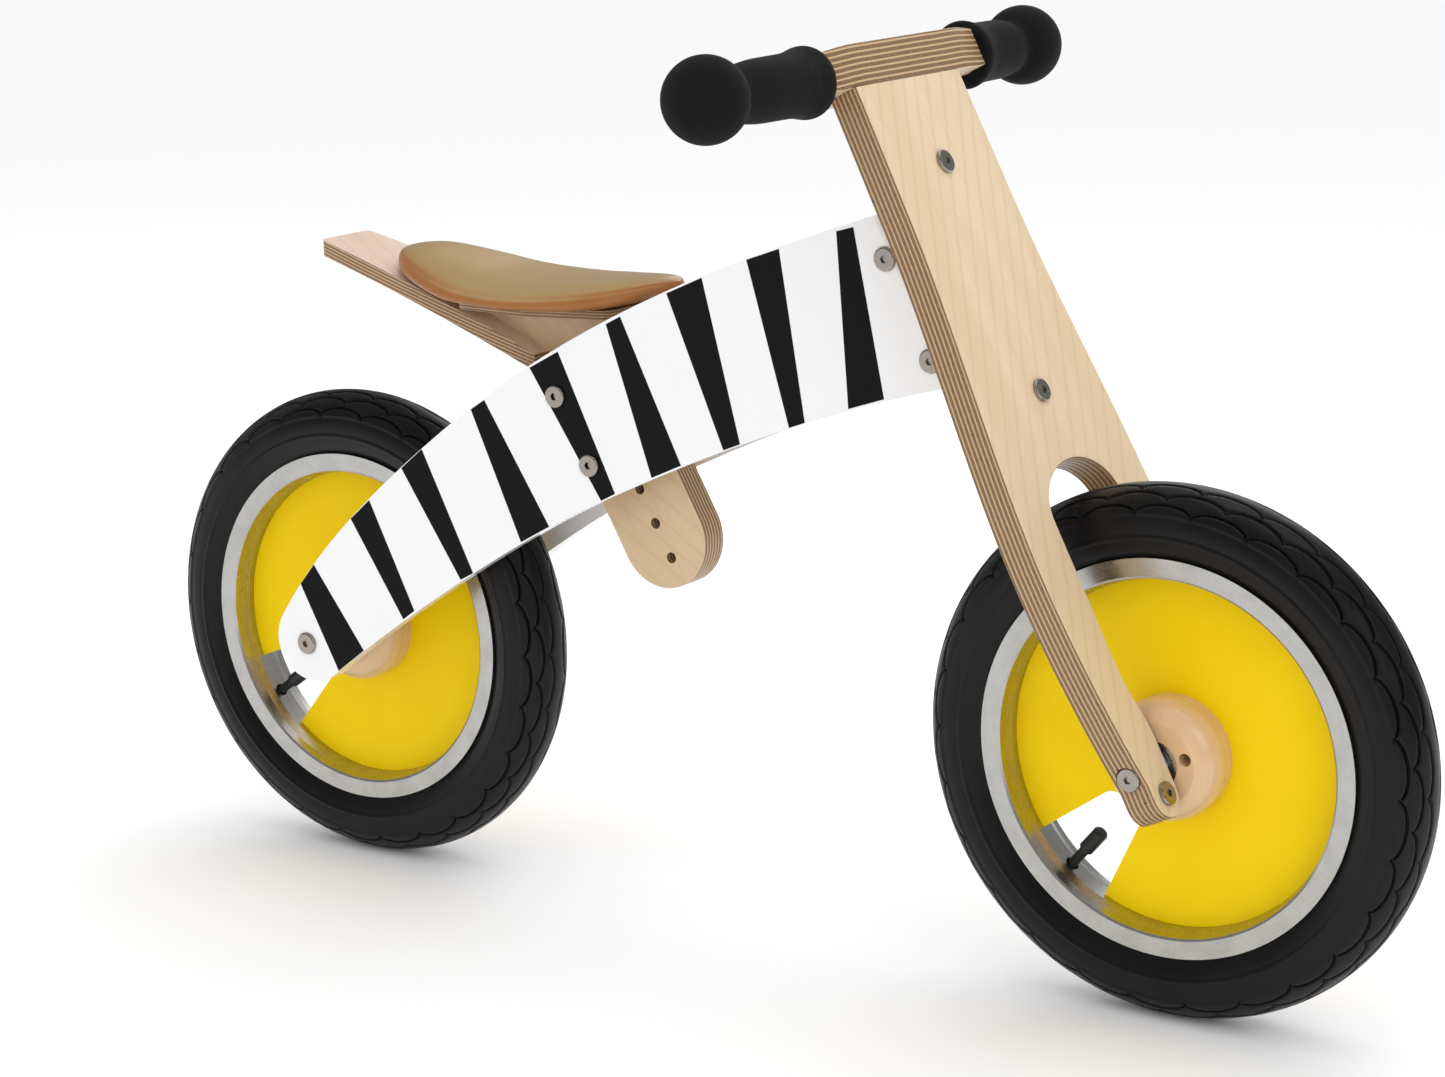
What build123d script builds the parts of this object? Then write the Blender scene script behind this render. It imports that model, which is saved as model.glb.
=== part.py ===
from build123d import *
import os
from math import cos, sin, tan, radians, degrees, atan2, sqrt, pi

# Wooden balance bike for a small child: two flat side panels that close towards the
# head, a plywood fork plate that steers on a pin behind it, and two 12-inch wheels
# with flat discs and turned wooden hubs.
# Frame: +X forward, +Y to the rider's left, +Z up, millimetres. The origin lies on
# the ground midway between the two axles.

# ---------------------------------------------------------------- driving dimensions
WHEELBASE = 550.0
BEAD_RADIUS = 101.5            # 203 mm bead seat of a 12 x 1.75 tyre
TYRE_WIDTH = 43.5
TYRE_WALL = 3.5
TUBE_CLEARANCE = 0.6
TUBE_WALL = 1.3

FLANGE_HEIGHT = 6.7            # rim flange above the bead seat
RIM_HALF_WIDTH = 17.3
RIM_FLANGE_WALL = 1.9
RIM_FACE_DROP = 3.0            # inner edge of the flat outer ring, below the bead seat
RIM_WELL_DROP = 6.5            # inner face of the rim at its middle, below the bead seat
RIM_WELL_WALL = 2.0

DISC_THICKNESS = 4.0
NOTCH_HALF_ANGLE = 15.0        # opening for the valve, measured at the rim
NOTCH_ROOT_GAP = 10.0          # from the hub's rim to the notch
NOTCH_CORNER = 9.0
FRONT_NOTCH_ANGLE = -130.5     # from +X towards +Z
REAR_NOTCH_ANGLE = -144.5
VALVE_STEM_DIAMETER = 5.6
VALVE_CAP_DIAMETER = 8.4
VALVE_LENGTH = 28.0            # from the rim to the end of the cap
VALVE_CAP_LENGTH = 15.0

HUB_RADIUS = 33.0
HUB_FACE_RADIUS = 22.5
HUB_HALF_WIDTH = 26.0
HUB_RIM_HEIGHT = 7.0
HUB_CORE_RADIUS = 7.5
HUB_SCREW_CIRCLE = 18.2
HUB_SCREW_COUNT = 3
HUB_SCREW_ANGLE = 17.0
HUB_SCREW_DIAMETER = 4.0
HUB_SCREW_HEAD_DIAMETER = 6.6
HUB_SCREW_HEAD_HEIGHT = 3.4
HUB_SCREW_SINK = 16.0
HUB_SCREW_REACH = 12.0

AXLE_DIAMETER = 10.0
BEARING_DIAMETER = 26.0
BEARING_WIDTH = 8.0

BOLT_DIAMETER = 6.0
HEAD_DIAMETER = 13.0
HEAD_HEIGHT = 2.4
SOCKET_FLATS = 4.0
SOCKET_DEPTH = 1.6
SLEEVE_DIAMETER = 8.4
SLEEVE_LENGTH = 9.0
AXLE_THREAD_DEPTH = 16.0

FORK_TILT = 26.1               # lean of the fork plate and of the steering axis
FORK_THICKNESS = 18.0
FORK_TOP_RISE = 61.0           # plate above the head block
FORK_TOP_HALF_WIDTH = 52.5
FORK_NECK_HALF_WIDTH = 54.0
LEG_HIP_WIDTH = 33.8           # leg where it is broadest
LEG_TIP_WIDTH = 25.5
LEG_TIP_LEVEL = -14.5
FRONT_WASHER_WIDTH = 2.5
TYRE_SIDE_CLEARANCE = 15.25
TYRE_TOP_CLEARANCE = 19.0
SLOT_ARCH_RISE = 27.0
FORK_EDGE_ROUND = 1.2
FORK_BOLT_UPPER_RISE = 12.5    # above the head block
FORK_BOLT_LOWER_RISE = 39.0    # above the slot
LEG_SCREW_DIAMETER = 5.0
LEG_SCREW_LENGTH = 15.0

STEER_SETBACK = 22.0           # steering axis behind the middle of the fork plate
HEAD_RISE = 58.0               # head block above the slot
HEAD_LENGTH = 99.5
HEAD_BLOCK_DEPTH = 36.0
HEAD_NOSE_RADIUS = 9.8
HEAD_BOLT_SETBACK = 31.8
HEAD_BOLT_UPPER_DROP = 22.5    # below the block's top
HEAD_BOLT_LOWER_RISE = 18.0    # above its bottom
THRUST_THICKNESS = 3.0
BUSH_DIAMETER = 12.0
BUSH_FLANGE_DIAMETER = 19.0
BUSH_LENGTH = 18.0
PIN_DIAMETER = 8.0
PIN_HEAD_DIAMETER = 13.0
PIN_HEAD_HEIGHT = 6.0
LOCKNUT_FLATS = 13.0
LOCKNUT_HEIGHT = 7.5
BRACKET_UPPER_HEIGHT = 23.0
BRACKET_LOWER_HEIGHT = 31.0
BRACKET_HALF_WIDTH = 13.0
BRACKET_NOSE_RADIUS = 10.5
INSERT_DEPTH = 8.0             # thread engagement of the fork bolts in the knuckles

PANEL_REAR_HALF_WIDTH = 60.0   # outer face at the rear axle
PANEL_FRONT_HALF_WIDTH = 26.06     # outer face at the head
PANEL_THICKNESS = 12.0
PANEL_FRONT_SETBACK = 23.0     # panel ends behind the middle of the fork plate
PANEL_FRONT_ROUND = 6.0
PANEL_REAR_RADIUS = 24.0

SEAT_TILT = 28.8               # lean of the seat post
SEAT_HOLE_PITCH = 21.75
SEAT_HOLE_COUNT = 6
POST_THICKNESS = 18.0
POST_HALF_WIDTH = 29.0
POST_OFFSET = 0.5
POST_TIP = 82.5                # rounded end, below the lower bolt
SPACER_HALF_WIDTH = 13.0

TAIL_THICKNESS = 9.0
TAIL_RADIUS = 940.0
TAIL_CENTRE_BACK = 447.9       # centre of its bend, behind and below the lower seat bolt
TAIL_CENTRE_DOWN = 805.8
TAIL_REACH = 209.0             # tip, behind the lower seat bolt
TAIL_ROOT_BACK = 51.0
TAIL_ROOT_HALF_WIDTH = 22.5
TAIL_BROAD_HALF_WIDTH = 25.5
TAIL_TIP_HALF_WIDTH = 21.0
TAIL_CORNER = 4.0

SADDLE_BASE_THICKNESS = 5.0
SADDLE_BASE_RISE = 80.0        # underside, above the lower seat bolt
SADDLE_BASE_BACK = 103.0
SADDLE_BASE_AHEAD = 3.0
SADDLE_BACK = 160.0            # ends of the pad, behind and ahead of the lower seat bolt
SADDLE_AHEAD = 36.0
SADDLE_HALF_WIDTH = 56.5
SOFT_CLEARANCE = 0.3

BAR_THICKNESS = 23.5
BAR_DEPTH = 34.0
BAR_END_DEPTH = 26.0
BAR_END_THICKNESS = 21.5
BAR_SHOULDER_RIGHT = 66.0
BAR_SHOULDER_LEFT = 89.0
BAR_TAPER = 30.0               # length over which each end narrows
BAR_EDGE_ROUND = 0.8
BAR_DOWEL_DIAMETER = 22.0
BAR_DOWEL_END = 168.0
BAR_SCREW_SPACING = 56.0
BAR_SCREW_DIAMETER = 5.0
BAR_SCREW_LENGTH = 55.0        # below the bar
BAR_SCREW_SINK = 3.0           # head seat below the bar's top
GRIP_DIAMETER = 33.5
GRIP_FLARE_DIAMETER = 38.0
GRIP_BULB_DIAMETER = 45.0
GRIP_BULB_CENTRE = 160.0

RUNNING_CLEARANCE = 0.05       # radial, pins and axles in their bores
HOLE_CLEARANCE = 0.2           # radial, bolts in wood
HEAD_ROOM = 0.3                # radial, round sunk bolt heads
FACE_GAP = 0.05                # between faces that slide on each other

# ---------------------------------------------------------------- derived places
TYRE_RADIUS = BEAD_RADIUS + TYRE_WIDTH
AXLE_LEVEL = TYRE_RADIUS
FLANGE_RADIUS = BEAD_RADIUS + FLANGE_HEIGHT
RIM_FACE_RADIUS = BEAD_RADIUS - RIM_FACE_DROP
RIM_WELL_RADIUS = BEAD_RADIUS - RIM_WELL_DROP
NOTCH_ROOT_RADIUS = HUB_RADIUS + NOTCH_ROOT_GAP
VALVE_TIP_RADIUS = RIM_WELL_RADIUS - VALVE_LENGTH
REAR_X = -WHEELBASE / 2
FRONT_X = WHEELBASE / 2
TYRE_SECTION = TYRE_WIDTH / 2
TYRE_CENTRE = TYRE_RADIUS - TYRE_SECTION
TUBE_SECTION = TYRE_SECTION - TYRE_WALL - TUBE_CLEARANCE
TILT = radians(FORK_TILT)

# Levels up along the fork plate, from the front axle.
SLOT_TOP = TYRE_RADIUS + TYRE_TOP_CLEARANCE
SLOT_SPRING_LEVEL = SLOT_TOP - SLOT_ARCH_RISE
HEAD_BOTTOM = SLOT_TOP + HEAD_RISE
HEAD_TOP = HEAD_BOTTOM + HEAD_LENGTH
HEAD_BOLT_UPPER = HEAD_TOP - HEAD_BOLT_UPPER_DROP
HEAD_BOLT_LOWER = HEAD_BOTTOM + HEAD_BOLT_LOWER_RISE
FORK_BOLT_UPPER = HEAD_TOP + FORK_BOLT_UPPER_RISE
FORK_BOLT_LOWER = SLOT_TOP + FORK_BOLT_LOWER_RISE
FORK_TOP = HEAD_TOP + FORK_TOP_RISE

# Half widths of the fork plate.
SLOT_HALF_WIDTH = TYRE_WIDTH / 2 + TYRE_SIDE_CLEARANCE
DROPOUT_HALF_GAP = HUB_HALF_WIDTH + FRONT_WASHER_WIDTH
FORK_HIP_HALF_WIDTH = SLOT_HALF_WIDTH + LEG_HIP_WIDTH
FORK_ANKLE_HALF_WIDTH = DROPOUT_HALF_GAP + LEG_TIP_WIDTH


def fork_to_side(level, ahead):
    """A place in the fork frame (up the plate, ahead of it) as (x, z) from the rear axle."""
    x = WHEELBASE - level * sin(TILT) + ahead * cos(TILT)
    z = level * cos(TILT) + ahead * sin(TILT)
    return (x, z)


# The side panels' bow is drawn for this head place and follows the real one.
DRAWN_HEAD = (387.9, 278.6)
HEAD_X, HEAD_Z = fork_to_side(HEAD_TOP, -PANEL_FRONT_SETBACK)
BOW_REACH = HEAD_X / DRAWN_HEAD[0]
BOW_RISE = HEAD_Z / DRAWN_HEAD[1]
SLOPE = (PANEL_REAR_HALF_WIDTH - PANEL_FRONT_HALF_WIDTH) / HEAD_X
PANEL_ANGLE = degrees(atan2(SLOPE, 1.0))
PANEL_WALL_Y = PANEL_THICKNESS / cos(radians(PANEL_ANGLE))

# The seat hangs on its lower bolt, which sits in the middle of the bow.
SEAT_BOLT_LOWER = (203.0 * BOW_REACH, 127.0 * BOW_RISE)
SEAT_X, SEAT_Z = SEAT_BOLT_LOWER
TAIL_CENTRE = (SEAT_X - TAIL_CENTRE_BACK, SEAT_Z - TAIL_CENTRE_DOWN)
TAIL_TIP_X = SEAT_X - TAIL_REACH
TAIL_ROOT_X = SEAT_X - TAIL_ROOT_BACK
SADDLE_BASE_LEVEL = SEAT_Z + SADDLE_BASE_RISE
SADDLE_BASE_REAR_X = SEAT_X - SADDLE_BASE_BACK
SADDLE_BASE_FRONT_X = SEAT_X + SADDLE_BASE_AHEAD
SADDLE_REAR_X = SEAT_X - SADDLE_BACK
SADDLE_FRONT_X = SEAT_X + SADDLE_AHEAD

# Fork frame: x across the bike, y up along the plate, z forward, origin on the axle.
FORK = Plane(origin=(FRONT_X, 0, AXLE_LEVEL), x_dir=(0, 1, 0), z_dir=(cos(TILT), 0, sin(TILT)))
# Right-hand panel frame: x along the panel, y up, z outwards, origin below the rear axle.
PANEL = Plane(
    origin=(REAR_X, -PANEL_REAR_HALF_WIDTH, AXLE_LEVEL),
    x_dir=(cos(radians(PANEL_ANGLE)), sin(radians(PANEL_ANGLE)), 0),
    z_dir=(sin(radians(PANEL_ANGLE)), -cos(radians(PANEL_ANGLE)), 0),
)
# Side frame: x forward, y up, z to the right, origin on the rear axle.
SIDE = Plane(origin=(REAR_X, 0, AXLE_LEVEL), x_dir=(1, 0, 0), z_dir=(0, -1, 0))


def outer_y(x):
    """Half distance between the panels' outer faces, x forward of the rear axle."""
    return PANEL_REAR_HALF_WIDTH - SLOPE * x


def inner_y(x):
    """Half distance between the panels' inner faces, x forward of the rear axle."""
    return outer_y(x) - PANEL_WALL_Y


def seat_point(down, across=0.0):
    """A place on the seat post: down its line from the lower bolt, across towards the front."""
    tilt = radians(SEAT_TILT)
    x = SEAT_BOLT_LOWER[0] + down * sin(tilt) + across * cos(tilt)
    z = SEAT_BOLT_LOWER[1] - down * cos(tilt) + across * sin(tilt)
    return (x, z)


def tail_level(x, offset=0.0):
    """Height of the tail plate's underside above the axles, plus an offset across it."""
    return TAIL_CENTRE[1] + sqrt((TAIL_RADIUS + offset) ** 2 - (x - TAIL_CENTRE[0]) ** 2)


HEAD_BOLTS = [fork_to_side(level, -HEAD_BOLT_SETBACK) for level in (HEAD_BOLT_UPPER, HEAD_BOLT_LOWER)]
SEAT_BOLTS = [seat_point(-2 * SEAT_HOLE_PITCH), seat_point(0.0)]


# ---------------------------------------------------------------- shared shapes
def rod(diameter, start, end):
    """Round bar along +Z from start to end."""
    return Pos(0, 0, (start + end) / 2) * Cylinder(diameter / 2, end - start)


def across_rod(x, z, diameter, start, end):
    """Round bar across the bike at (x, z) from the rear axle, from start to end along Y."""
    place = Plane(origin=(REAR_X + x, 0, AXLE_LEVEL + z), x_dir=(1, 0, 0), z_dir=(0, 1, 0))
    return place * rod(diameter, start, end)


def socket_head(diameter, height):
    """Flat round bolt head on z = 0 with a rounded rim and a hexagon socket."""
    head = rod(diameter, 0, height)
    head = fillet(head.faces().sort_by(Axis.Z)[-1].edges(), height * 0.4)
    socket = extrude(RegularPolygon(SOCKET_FLATS / 2, 6, major_radius=False), SOCKET_DEPTH)
    return head - Pos(0, 0, height - SOCKET_DEPTH) * socket


def bolt(length, diameter=BOLT_DIAMETER):
    """Socket bolt: head above z = 0, shank below."""
    return socket_head(HEAD_DIAMETER, HEAD_HEIGHT) + rod(diameter, -length, 0)


def sleeve_nut():
    """Cap nut with a sleeve below z = 0 that takes the bolt's end."""
    nut = socket_head(HEAD_DIAMETER, HEAD_HEIGHT) + rod(SLEEVE_DIAMETER, -SLEEVE_LENGTH, 0)
    return nut - rod(BOLT_DIAMETER, -SLEEVE_LENGTH, -1.0)


def on_right(x, z, y):
    """Placement that turns +Z to the right-hand side (-Y) at distance y from the middle."""
    return Plane(origin=(REAR_X + x, -y, AXLE_LEVEL + z), x_dir=(1, 0, 0), z_dir=(0, -1, 0))


def on_left(x, z, y):
    """Placement that turns +Z to the left-hand side (+Y) at distance y from the middle."""
    return Plane(origin=(REAR_X + x, y, AXLE_LEVEL + z), x_dir=(-1, 0, 0), z_dir=(0, 1, 0))


def seat_y(x):
    """Depth of the flat seat that a bolt head has in a panel's outer face."""
    return outer_y(x) - SLOPE * (HEAD_DIAMETER / 2 + HEAD_ROOM)


def between_panels(x_start, x_end, gap=0.0):
    """Upright wedge of space between the panels' inner faces."""
    a = inner_y(x_start) - gap
    b = inner_y(x_end) - gap
    plan = Polyline((x_start, -a), (x_end, -b), (x_end, b), (x_start, a), close=True)
    face = Pos(REAR_X, 0, 0) * make_face(plan)
    return extrude(face, 700)


def side_solid(outline, half_thickness):
    """Extrude a face drawn in the side frame equally to both sides."""
    return SIDE * extrude(outline, half_thickness, both=True)


# ---------------------------------------------------------------- frame pieces
def panel_outline(stretch=1.0):
    """Side panel from the side: a long bow from the rear axle to the head, stretched along X."""
    head_bottom = fork_to_side(HEAD_BOTTOM, -PANEL_FRONT_SETBACK)
    end_x = head_bottom[0] / BOW_REACH
    upper = [(-17.0, 16.0), (8.0, 50.0), (50.0, 93.5), (89.0, 127.0), (134.0, 161.0), (186.0, 194.0),
             (256.0, 229.5), (327.0, 258.0), DRAWN_HEAD]
    lower = [(end_x, head_bottom[1] / BOW_RISE), (366.0, 170.5), (289.0, 142.0), (243.0, 122.0), (174.0, 87.5),
             (113.0, 50.0), (41.0, -0.5), (16.0, -20.0)]
    tip = (-15.0, -14.5)
    upper = [(x * BOW_REACH * stretch, z * BOW_RISE) for x, z in upper]
    lower = [(x * BOW_REACH * stretch, z * BOW_RISE) for x, z in lower]
    end = ThreePointArc(lower[-1], (tip[0] * stretch, tip[1]), upper[0])
    return make_face([Spline(*upper), Line(upper[-1], lower[0]), Spline(*lower), end])


def panel_blank(bore):
    """Right-hand panel with the bolts' bores and the flat seats of their heads."""
    panel = PANEL * extrude(panel_outline(1 / cos(radians(PANEL_ANGLE))), -PANEL_THICKNESS)
    corner_x, corner_z = fork_to_side((HEAD_TOP + HEAD_BOTTOM) / 2, -PANEL_FRONT_SETBACK)
    corner = Vector(REAR_X + corner_x, -outer_y(corner_x), AXLE_LEVEL + corner_z)
    panel = fillet(panel.edges().sort_by_distance(corner)[0], PANEL_FRONT_ROUND)
    for x, z in HEAD_BOLTS + SEAT_BOLTS:
        panel -= across_rod(x, z, bore + 2 * HOLE_CLEARANCE, -100, 0)
        panel -= across_rod(x, z, HEAD_DIAMETER + 2 * HEAD_ROOM, -100, -seat_y(x))
    panel -= across_rod(0, 0, BOLT_DIAMETER + 2 * HOLE_CLEARANCE, -100, 0)
    panel -= across_rod(0, 0, HEAD_DIAMETER + 2 * HEAD_ROOM, -100, -seat_y(0))
    return panel


def panel_right():
    return panel_blank(BOLT_DIAMETER)


def panel_left():
    """The left-hand panel has larger bores, for the sleeve nuts."""
    return mirror(panel_blank(SLEEVE_DIAMETER), about=Plane.XZ)


def head_block():
    """Block between the panels' front ends, with a round nose about the steering axis."""
    mid = (HEAD_TOP + HEAD_BOTTOM) / 2
    height = HEAD_TOP - HEAD_BOTTOM
    width = 2 * PANEL_REAR_HALF_WIDTH
    body = Pos(0, mid, -STEER_SETBACK - HEAD_BLOCK_DEPTH / 2) * Box(width, height, HEAD_BLOCK_DEPTH)
    body = (FORK * body) & between_panels(HEAD_X - 100, HEAD_X + 80)
    body = body & side_solid(panel_outline(), width)
    nose = FORK * Pos(0, mid, -STEER_SETBACK) * Rot(90, 0, 0) * Cylinder(HEAD_NOSE_RADIUS, height)
    block = body + nose
    block -= steer_rod(PIN_DIAMETER + 2, HEAD_BOTTOM - 1, HEAD_TOP + 1)
    block -= steer_rod(BUSH_DIAMETER, HEAD_TOP - BUSH_LENGTH, HEAD_TOP + 1)
    block -= steer_rod(BUSH_DIAMETER, HEAD_BOTTOM - 1, HEAD_BOTTOM + BUSH_LENGTH)
    for x, z in HEAD_BOLTS:
        block -= across_rod(x, z, BOLT_DIAMETER + 2 * HOLE_CLEARANCE, -50, 50)
    return block


def steer_rod(diameter, low, high):
    """Round bar on the steering axis between two levels of the fork frame."""
    place = FORK * Pos(0, 0, -STEER_SETBACK) * Rot(-90, 0, 0)
    return place * rod(diameter, low, high)


def steering_bush(upper):
    """Flanged bush: its sleeve sits in the head block, its flange takes the thrust."""
    if upper:
        sleeve = steer_rod(BUSH_DIAMETER, HEAD_TOP - BUSH_LENGTH, HEAD_TOP)
        flange = steer_rod(BUSH_FLANGE_DIAMETER, HEAD_TOP, HEAD_TOP + THRUST_THICKNESS - FACE_GAP)
    else:
        sleeve = steer_rod(BUSH_DIAMETER, HEAD_BOTTOM, HEAD_BOTTOM + BUSH_LENGTH)
        flange = steer_rod(BUSH_FLANGE_DIAMETER, HEAD_BOTTOM - THRUST_THICKNESS + FACE_GAP, HEAD_BOTTOM)
    bore = steer_rod(PIN_DIAMETER + 2 * RUNNING_CLEARANCE, HEAD_BOTTOM - 10, HEAD_TOP + 10)
    return sleeve + flange - bore


def seat_post():
    """Plywood post: rounded lower end with height holes, and a wedge head over the tail plate."""
    left = POST_OFFSET - POST_HALF_WIDTH
    right = POST_OFFSET + POST_HALF_WIDTH
    round_level = POST_TIP - POST_HALF_WIDTH
    top = SADDLE_BASE_LEVEL
    tilt = radians(SEAT_TILT)
    front_down = -(top - SEAT_BOLT_LOWER[1] - right * sin(tilt)) / cos(tilt)
    front_top = seat_point(front_down, right)
    wedge_tip_x = SADDLE_BASE_REAR_X
    wedge_tip = (wedge_tip_x, tail_level(wedge_tip_x, TAIL_THICKNESS))
    root_up = (TAIL_ROOT_X, tail_level(TAIL_ROOT_X, TAIL_THICKNESS))
    root_low = (TAIL_ROOT_X, tail_level(TAIL_ROOT_X))
    rear_foot = seat_point(round_level, left)
    rear_head = rear_edge_under_tail(left)
    outline = [
        ThreePointArc(rear_foot, seat_point(POST_TIP, POST_OFFSET), seat_point(round_level, right)),
        Line(seat_point(round_level, right), front_top),
        Line(front_top, (wedge_tip_x, top)),
    ]
    if abs(top - wedge_tip[1]) > 0.01:
        outline.append(Line((wedge_tip_x, top), wedge_tip))
    middle_x = (wedge_tip_x + TAIL_ROOT_X) / 2
    outline += [
        ThreePointArc(wedge_tip, (middle_x, tail_level(middle_x, TAIL_THICKNESS)), root_up),
        Line(root_up, root_low),
        Line(root_low, rear_head),
        Line(rear_head, rear_foot),
    ]
    post = side_solid(make_face(outline), POST_THICKNESS / 2)
    for hole in range(SEAT_HOLE_COUNT):
        x, z = seat_point((hole - 2) * SEAT_HOLE_PITCH)
        post -= across_rod(x, z, BOLT_DIAMETER + 2 * HOLE_CLEARANCE, -20, 20)
    return post


def rear_edge_under_tail(across):
    """Where the post's rear edge comes up to the level of the tail plate's underside."""
    tilt = radians(SEAT_TILT)
    level = tail_level(TAIL_ROOT_X)
    down = (SEAT_BOLT_LOWER[1] + across * sin(tilt) - level) / cos(tilt)
    return seat_point(down, across)


def seat_spacer(side):
    """Filler between the post and one panel, round both seat bolts. side is -1 right, +1 left."""
    length = 2 * SEAT_HOLE_PITCH
    middle = seat_point(-SEAT_HOLE_PITCH)
    slot = SlotCenterToCenter(length, 2 * SPACER_HALF_WIDTH)
    slot = Pos(middle[0], middle[1]) * Rot(0, 0, 90 + SEAT_TILT) * slot
    solid = SIDE * Pos(0, 0, -side * POST_THICKNESS / 2) * extrude(slot, -side * 60)
    solid = solid & between_panels(SEAT_X - 100, SEAT_X + 100)
    for x, z in SEAT_BOLTS:
        solid -= across_rod(x, z, BOLT_DIAMETER + 2 * HOLE_CLEARANCE, -70, 70)
    return solid


def tail_plate():
    """Bent plywood plate that carries the saddle's rear and runs out behind it."""
    tip_low = (TAIL_TIP_X, tail_level(TAIL_TIP_X))
    root_low = (TAIL_ROOT_X, tail_level(TAIL_ROOT_X))
    root_high = (TAIL_ROOT_X, tail_level(TAIL_ROOT_X, TAIL_THICKNESS))
    tip_high = (TAIL_TIP_X, tail_level(TAIL_TIP_X, TAIL_THICKNESS))
    mid_x = (TAIL_TIP_X + TAIL_ROOT_X) / 2
    outline = [
        ThreePointArc(tip_low, (mid_x, tail_level(mid_x)), root_low),
        Line(root_low, root_high),
        ThreePointArc(root_high, (mid_x, tail_level(mid_x, TAIL_THICKNESS)), tip_high),
        Line(tip_high, tip_low),
    ]
    plate = side_solid(make_face(outline), TAIL_BROAD_HALF_WIDTH + 5)
    root_x = TAIL_ROOT_X + 5
    tip_x = TAIL_TIP_X - TAIL_THICKNESS
    broad_x = (TAIL_TIP_X + TAIL_ROOT_X) / 2
    broad = (broad_x - 32, TAIL_BROAD_HALF_WIDTH)
    side = Spline((tip_x, TAIL_TIP_HALF_WIDTH), broad, (root_x, TAIL_ROOT_HALF_WIDTH))
    plan = make_face([
        side,
        Line((root_x, TAIL_ROOT_HALF_WIDTH), (root_x, -TAIL_ROOT_HALF_WIDTH)),
        mirror(side, about=Plane.XZ),
        Line((tip_x, -TAIL_TIP_HALF_WIDTH), (tip_x, TAIL_TIP_HALF_WIDTH)),
    ])
    column = Pos(REAR_X, 0, 0) * extrude(plan, 700)
    plate = plate & column
    tip_edges = plate.faces().sort_by(Axis.X)[0].edges().sort_by(Axis.Y)
    return fillet([tip_edges[0], tip_edges[-1]], TAIL_CORNER)


def saddle_plan():
    """Outline of the saddle from above, half of it mirrored: round tail, broad waist, blunt nose."""
    length = SADDLE_FRONT_X - SADDLE_REAR_X
    shape = [(0.0, 0.0), (0.11, 0.55), (0.24, 0.78), (0.39, 0.94), (0.55, 1.0), (0.68, 0.93), (0.78, 0.77),
             (0.88, 0.53), (0.96, 0.27), (1.0, 0.0)]
    half = [(SADDLE_REAR_X + u * length, v * SADDLE_HALF_WIDTH) for u, v in shape]
    left = Spline(*half, tangents=[(0, 1), (0, -1)])
    return make_face([left, mirror(left, about=Plane.XZ)])


def saddle_pad():
    """Plain solid of the upholstered pad: raised tail, dished middle, level nose."""
    flat = SADDLE_BASE_LEVEL + SADDLE_BASE_THICKNESS + SOFT_CLEARANCE
    rear_foot = (SADDLE_REAR_X, tail_level(SADDLE_REAR_X, TAIL_THICKNESS) + SOFT_CLEARANCE + 1.0)
    nose_foot = (SADDLE_FRONT_X, flat + 10.5)
    crown = [(0, 18.7), (24, 17.2), (49, 15.1), (84, 12.7), (119, 14.6), (149, 20.7), (174, 26.5), (189, 27.2),
             (196, 22.7)]
    top = [(SADDLE_FRONT_X - back, flat + rise) for back, rise in crown]
    top[-1] = (SADDLE_REAR_X, top[-1][1])
    outline = make_face([
        Polyline(rear_foot, (SEAT_X - 115, flat), (SEAT_X - 13, flat), (SEAT_X + 23, flat + 6.2), nose_foot),
        Line(nose_foot, top[0]),
        Spline(*top),
        Line(top[-1], rear_foot),
    ])
    pad = side_solid(outline, SADDLE_HALF_WIDTH + 10)
    column = Pos(REAR_X, 0, 0) * extrude(saddle_plan(), 700)
    return pad & column


def saddle_base():
    """Thin plywood board under the pad, screwed down on the post's wedge head."""
    middle_x = (SADDLE_BASE_REAR_X + SADDLE_BASE_FRONT_X) / 2
    rear = 0.53 * SADDLE_HALF_WIDTH
    middle = 0.60 * SADDLE_HALF_WIDTH
    front = 0.39 * SADDLE_HALF_WIDTH
    plan = make_face(Polyline(
        (SADDLE_BASE_REAR_X, -rear), (middle_x, -middle), (SADDLE_BASE_FRONT_X, -front),
        (SADDLE_BASE_FRONT_X, front), (middle_x, middle), (SADDLE_BASE_REAR_X, rear), close=True))
    plan = fillet(plan.vertices(), 8)
    board = extrude(plan, SADDLE_BASE_THICKNESS)
    return Pos(REAR_X, 0, AXLE_LEVEL + SADDLE_BASE_LEVEL) * board


def through_bolt(x, z):
    """Bolt from the right-hand panel that ends in the sleeve nut of the left-hand one."""
    return on_right(x, z, seat_y(x)) * bolt(2 * seat_y(x) - 1.5)


def through_nut(x, z):
    return on_left(x, z, seat_y(x)) * sleeve_nut()


def axle_tube(x, half_length):
    """Wheel axle: a tube with a threaded bore at both ends."""
    tube = across_rod(x, 0, AXLE_DIAMETER, -half_length, half_length)
    return tube - across_rod(x, 0, BOLT_DIAMETER, -half_length, half_length)


def axle_spacer(x, outer, inner_end, outer_end, side):
    """Ring on the axle between a hub bearing and the fork leg or panel."""
    start = inner_end
    ring = rod(outer, start, outer_end) - rod(AXLE_DIAMETER + 2 * RUNNING_CLEARANCE, start - 1, outer_end + 1)
    place = on_left(x, 0, 0) if side > 0 else on_right(x, 0, 0)
    return place * ring


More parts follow.
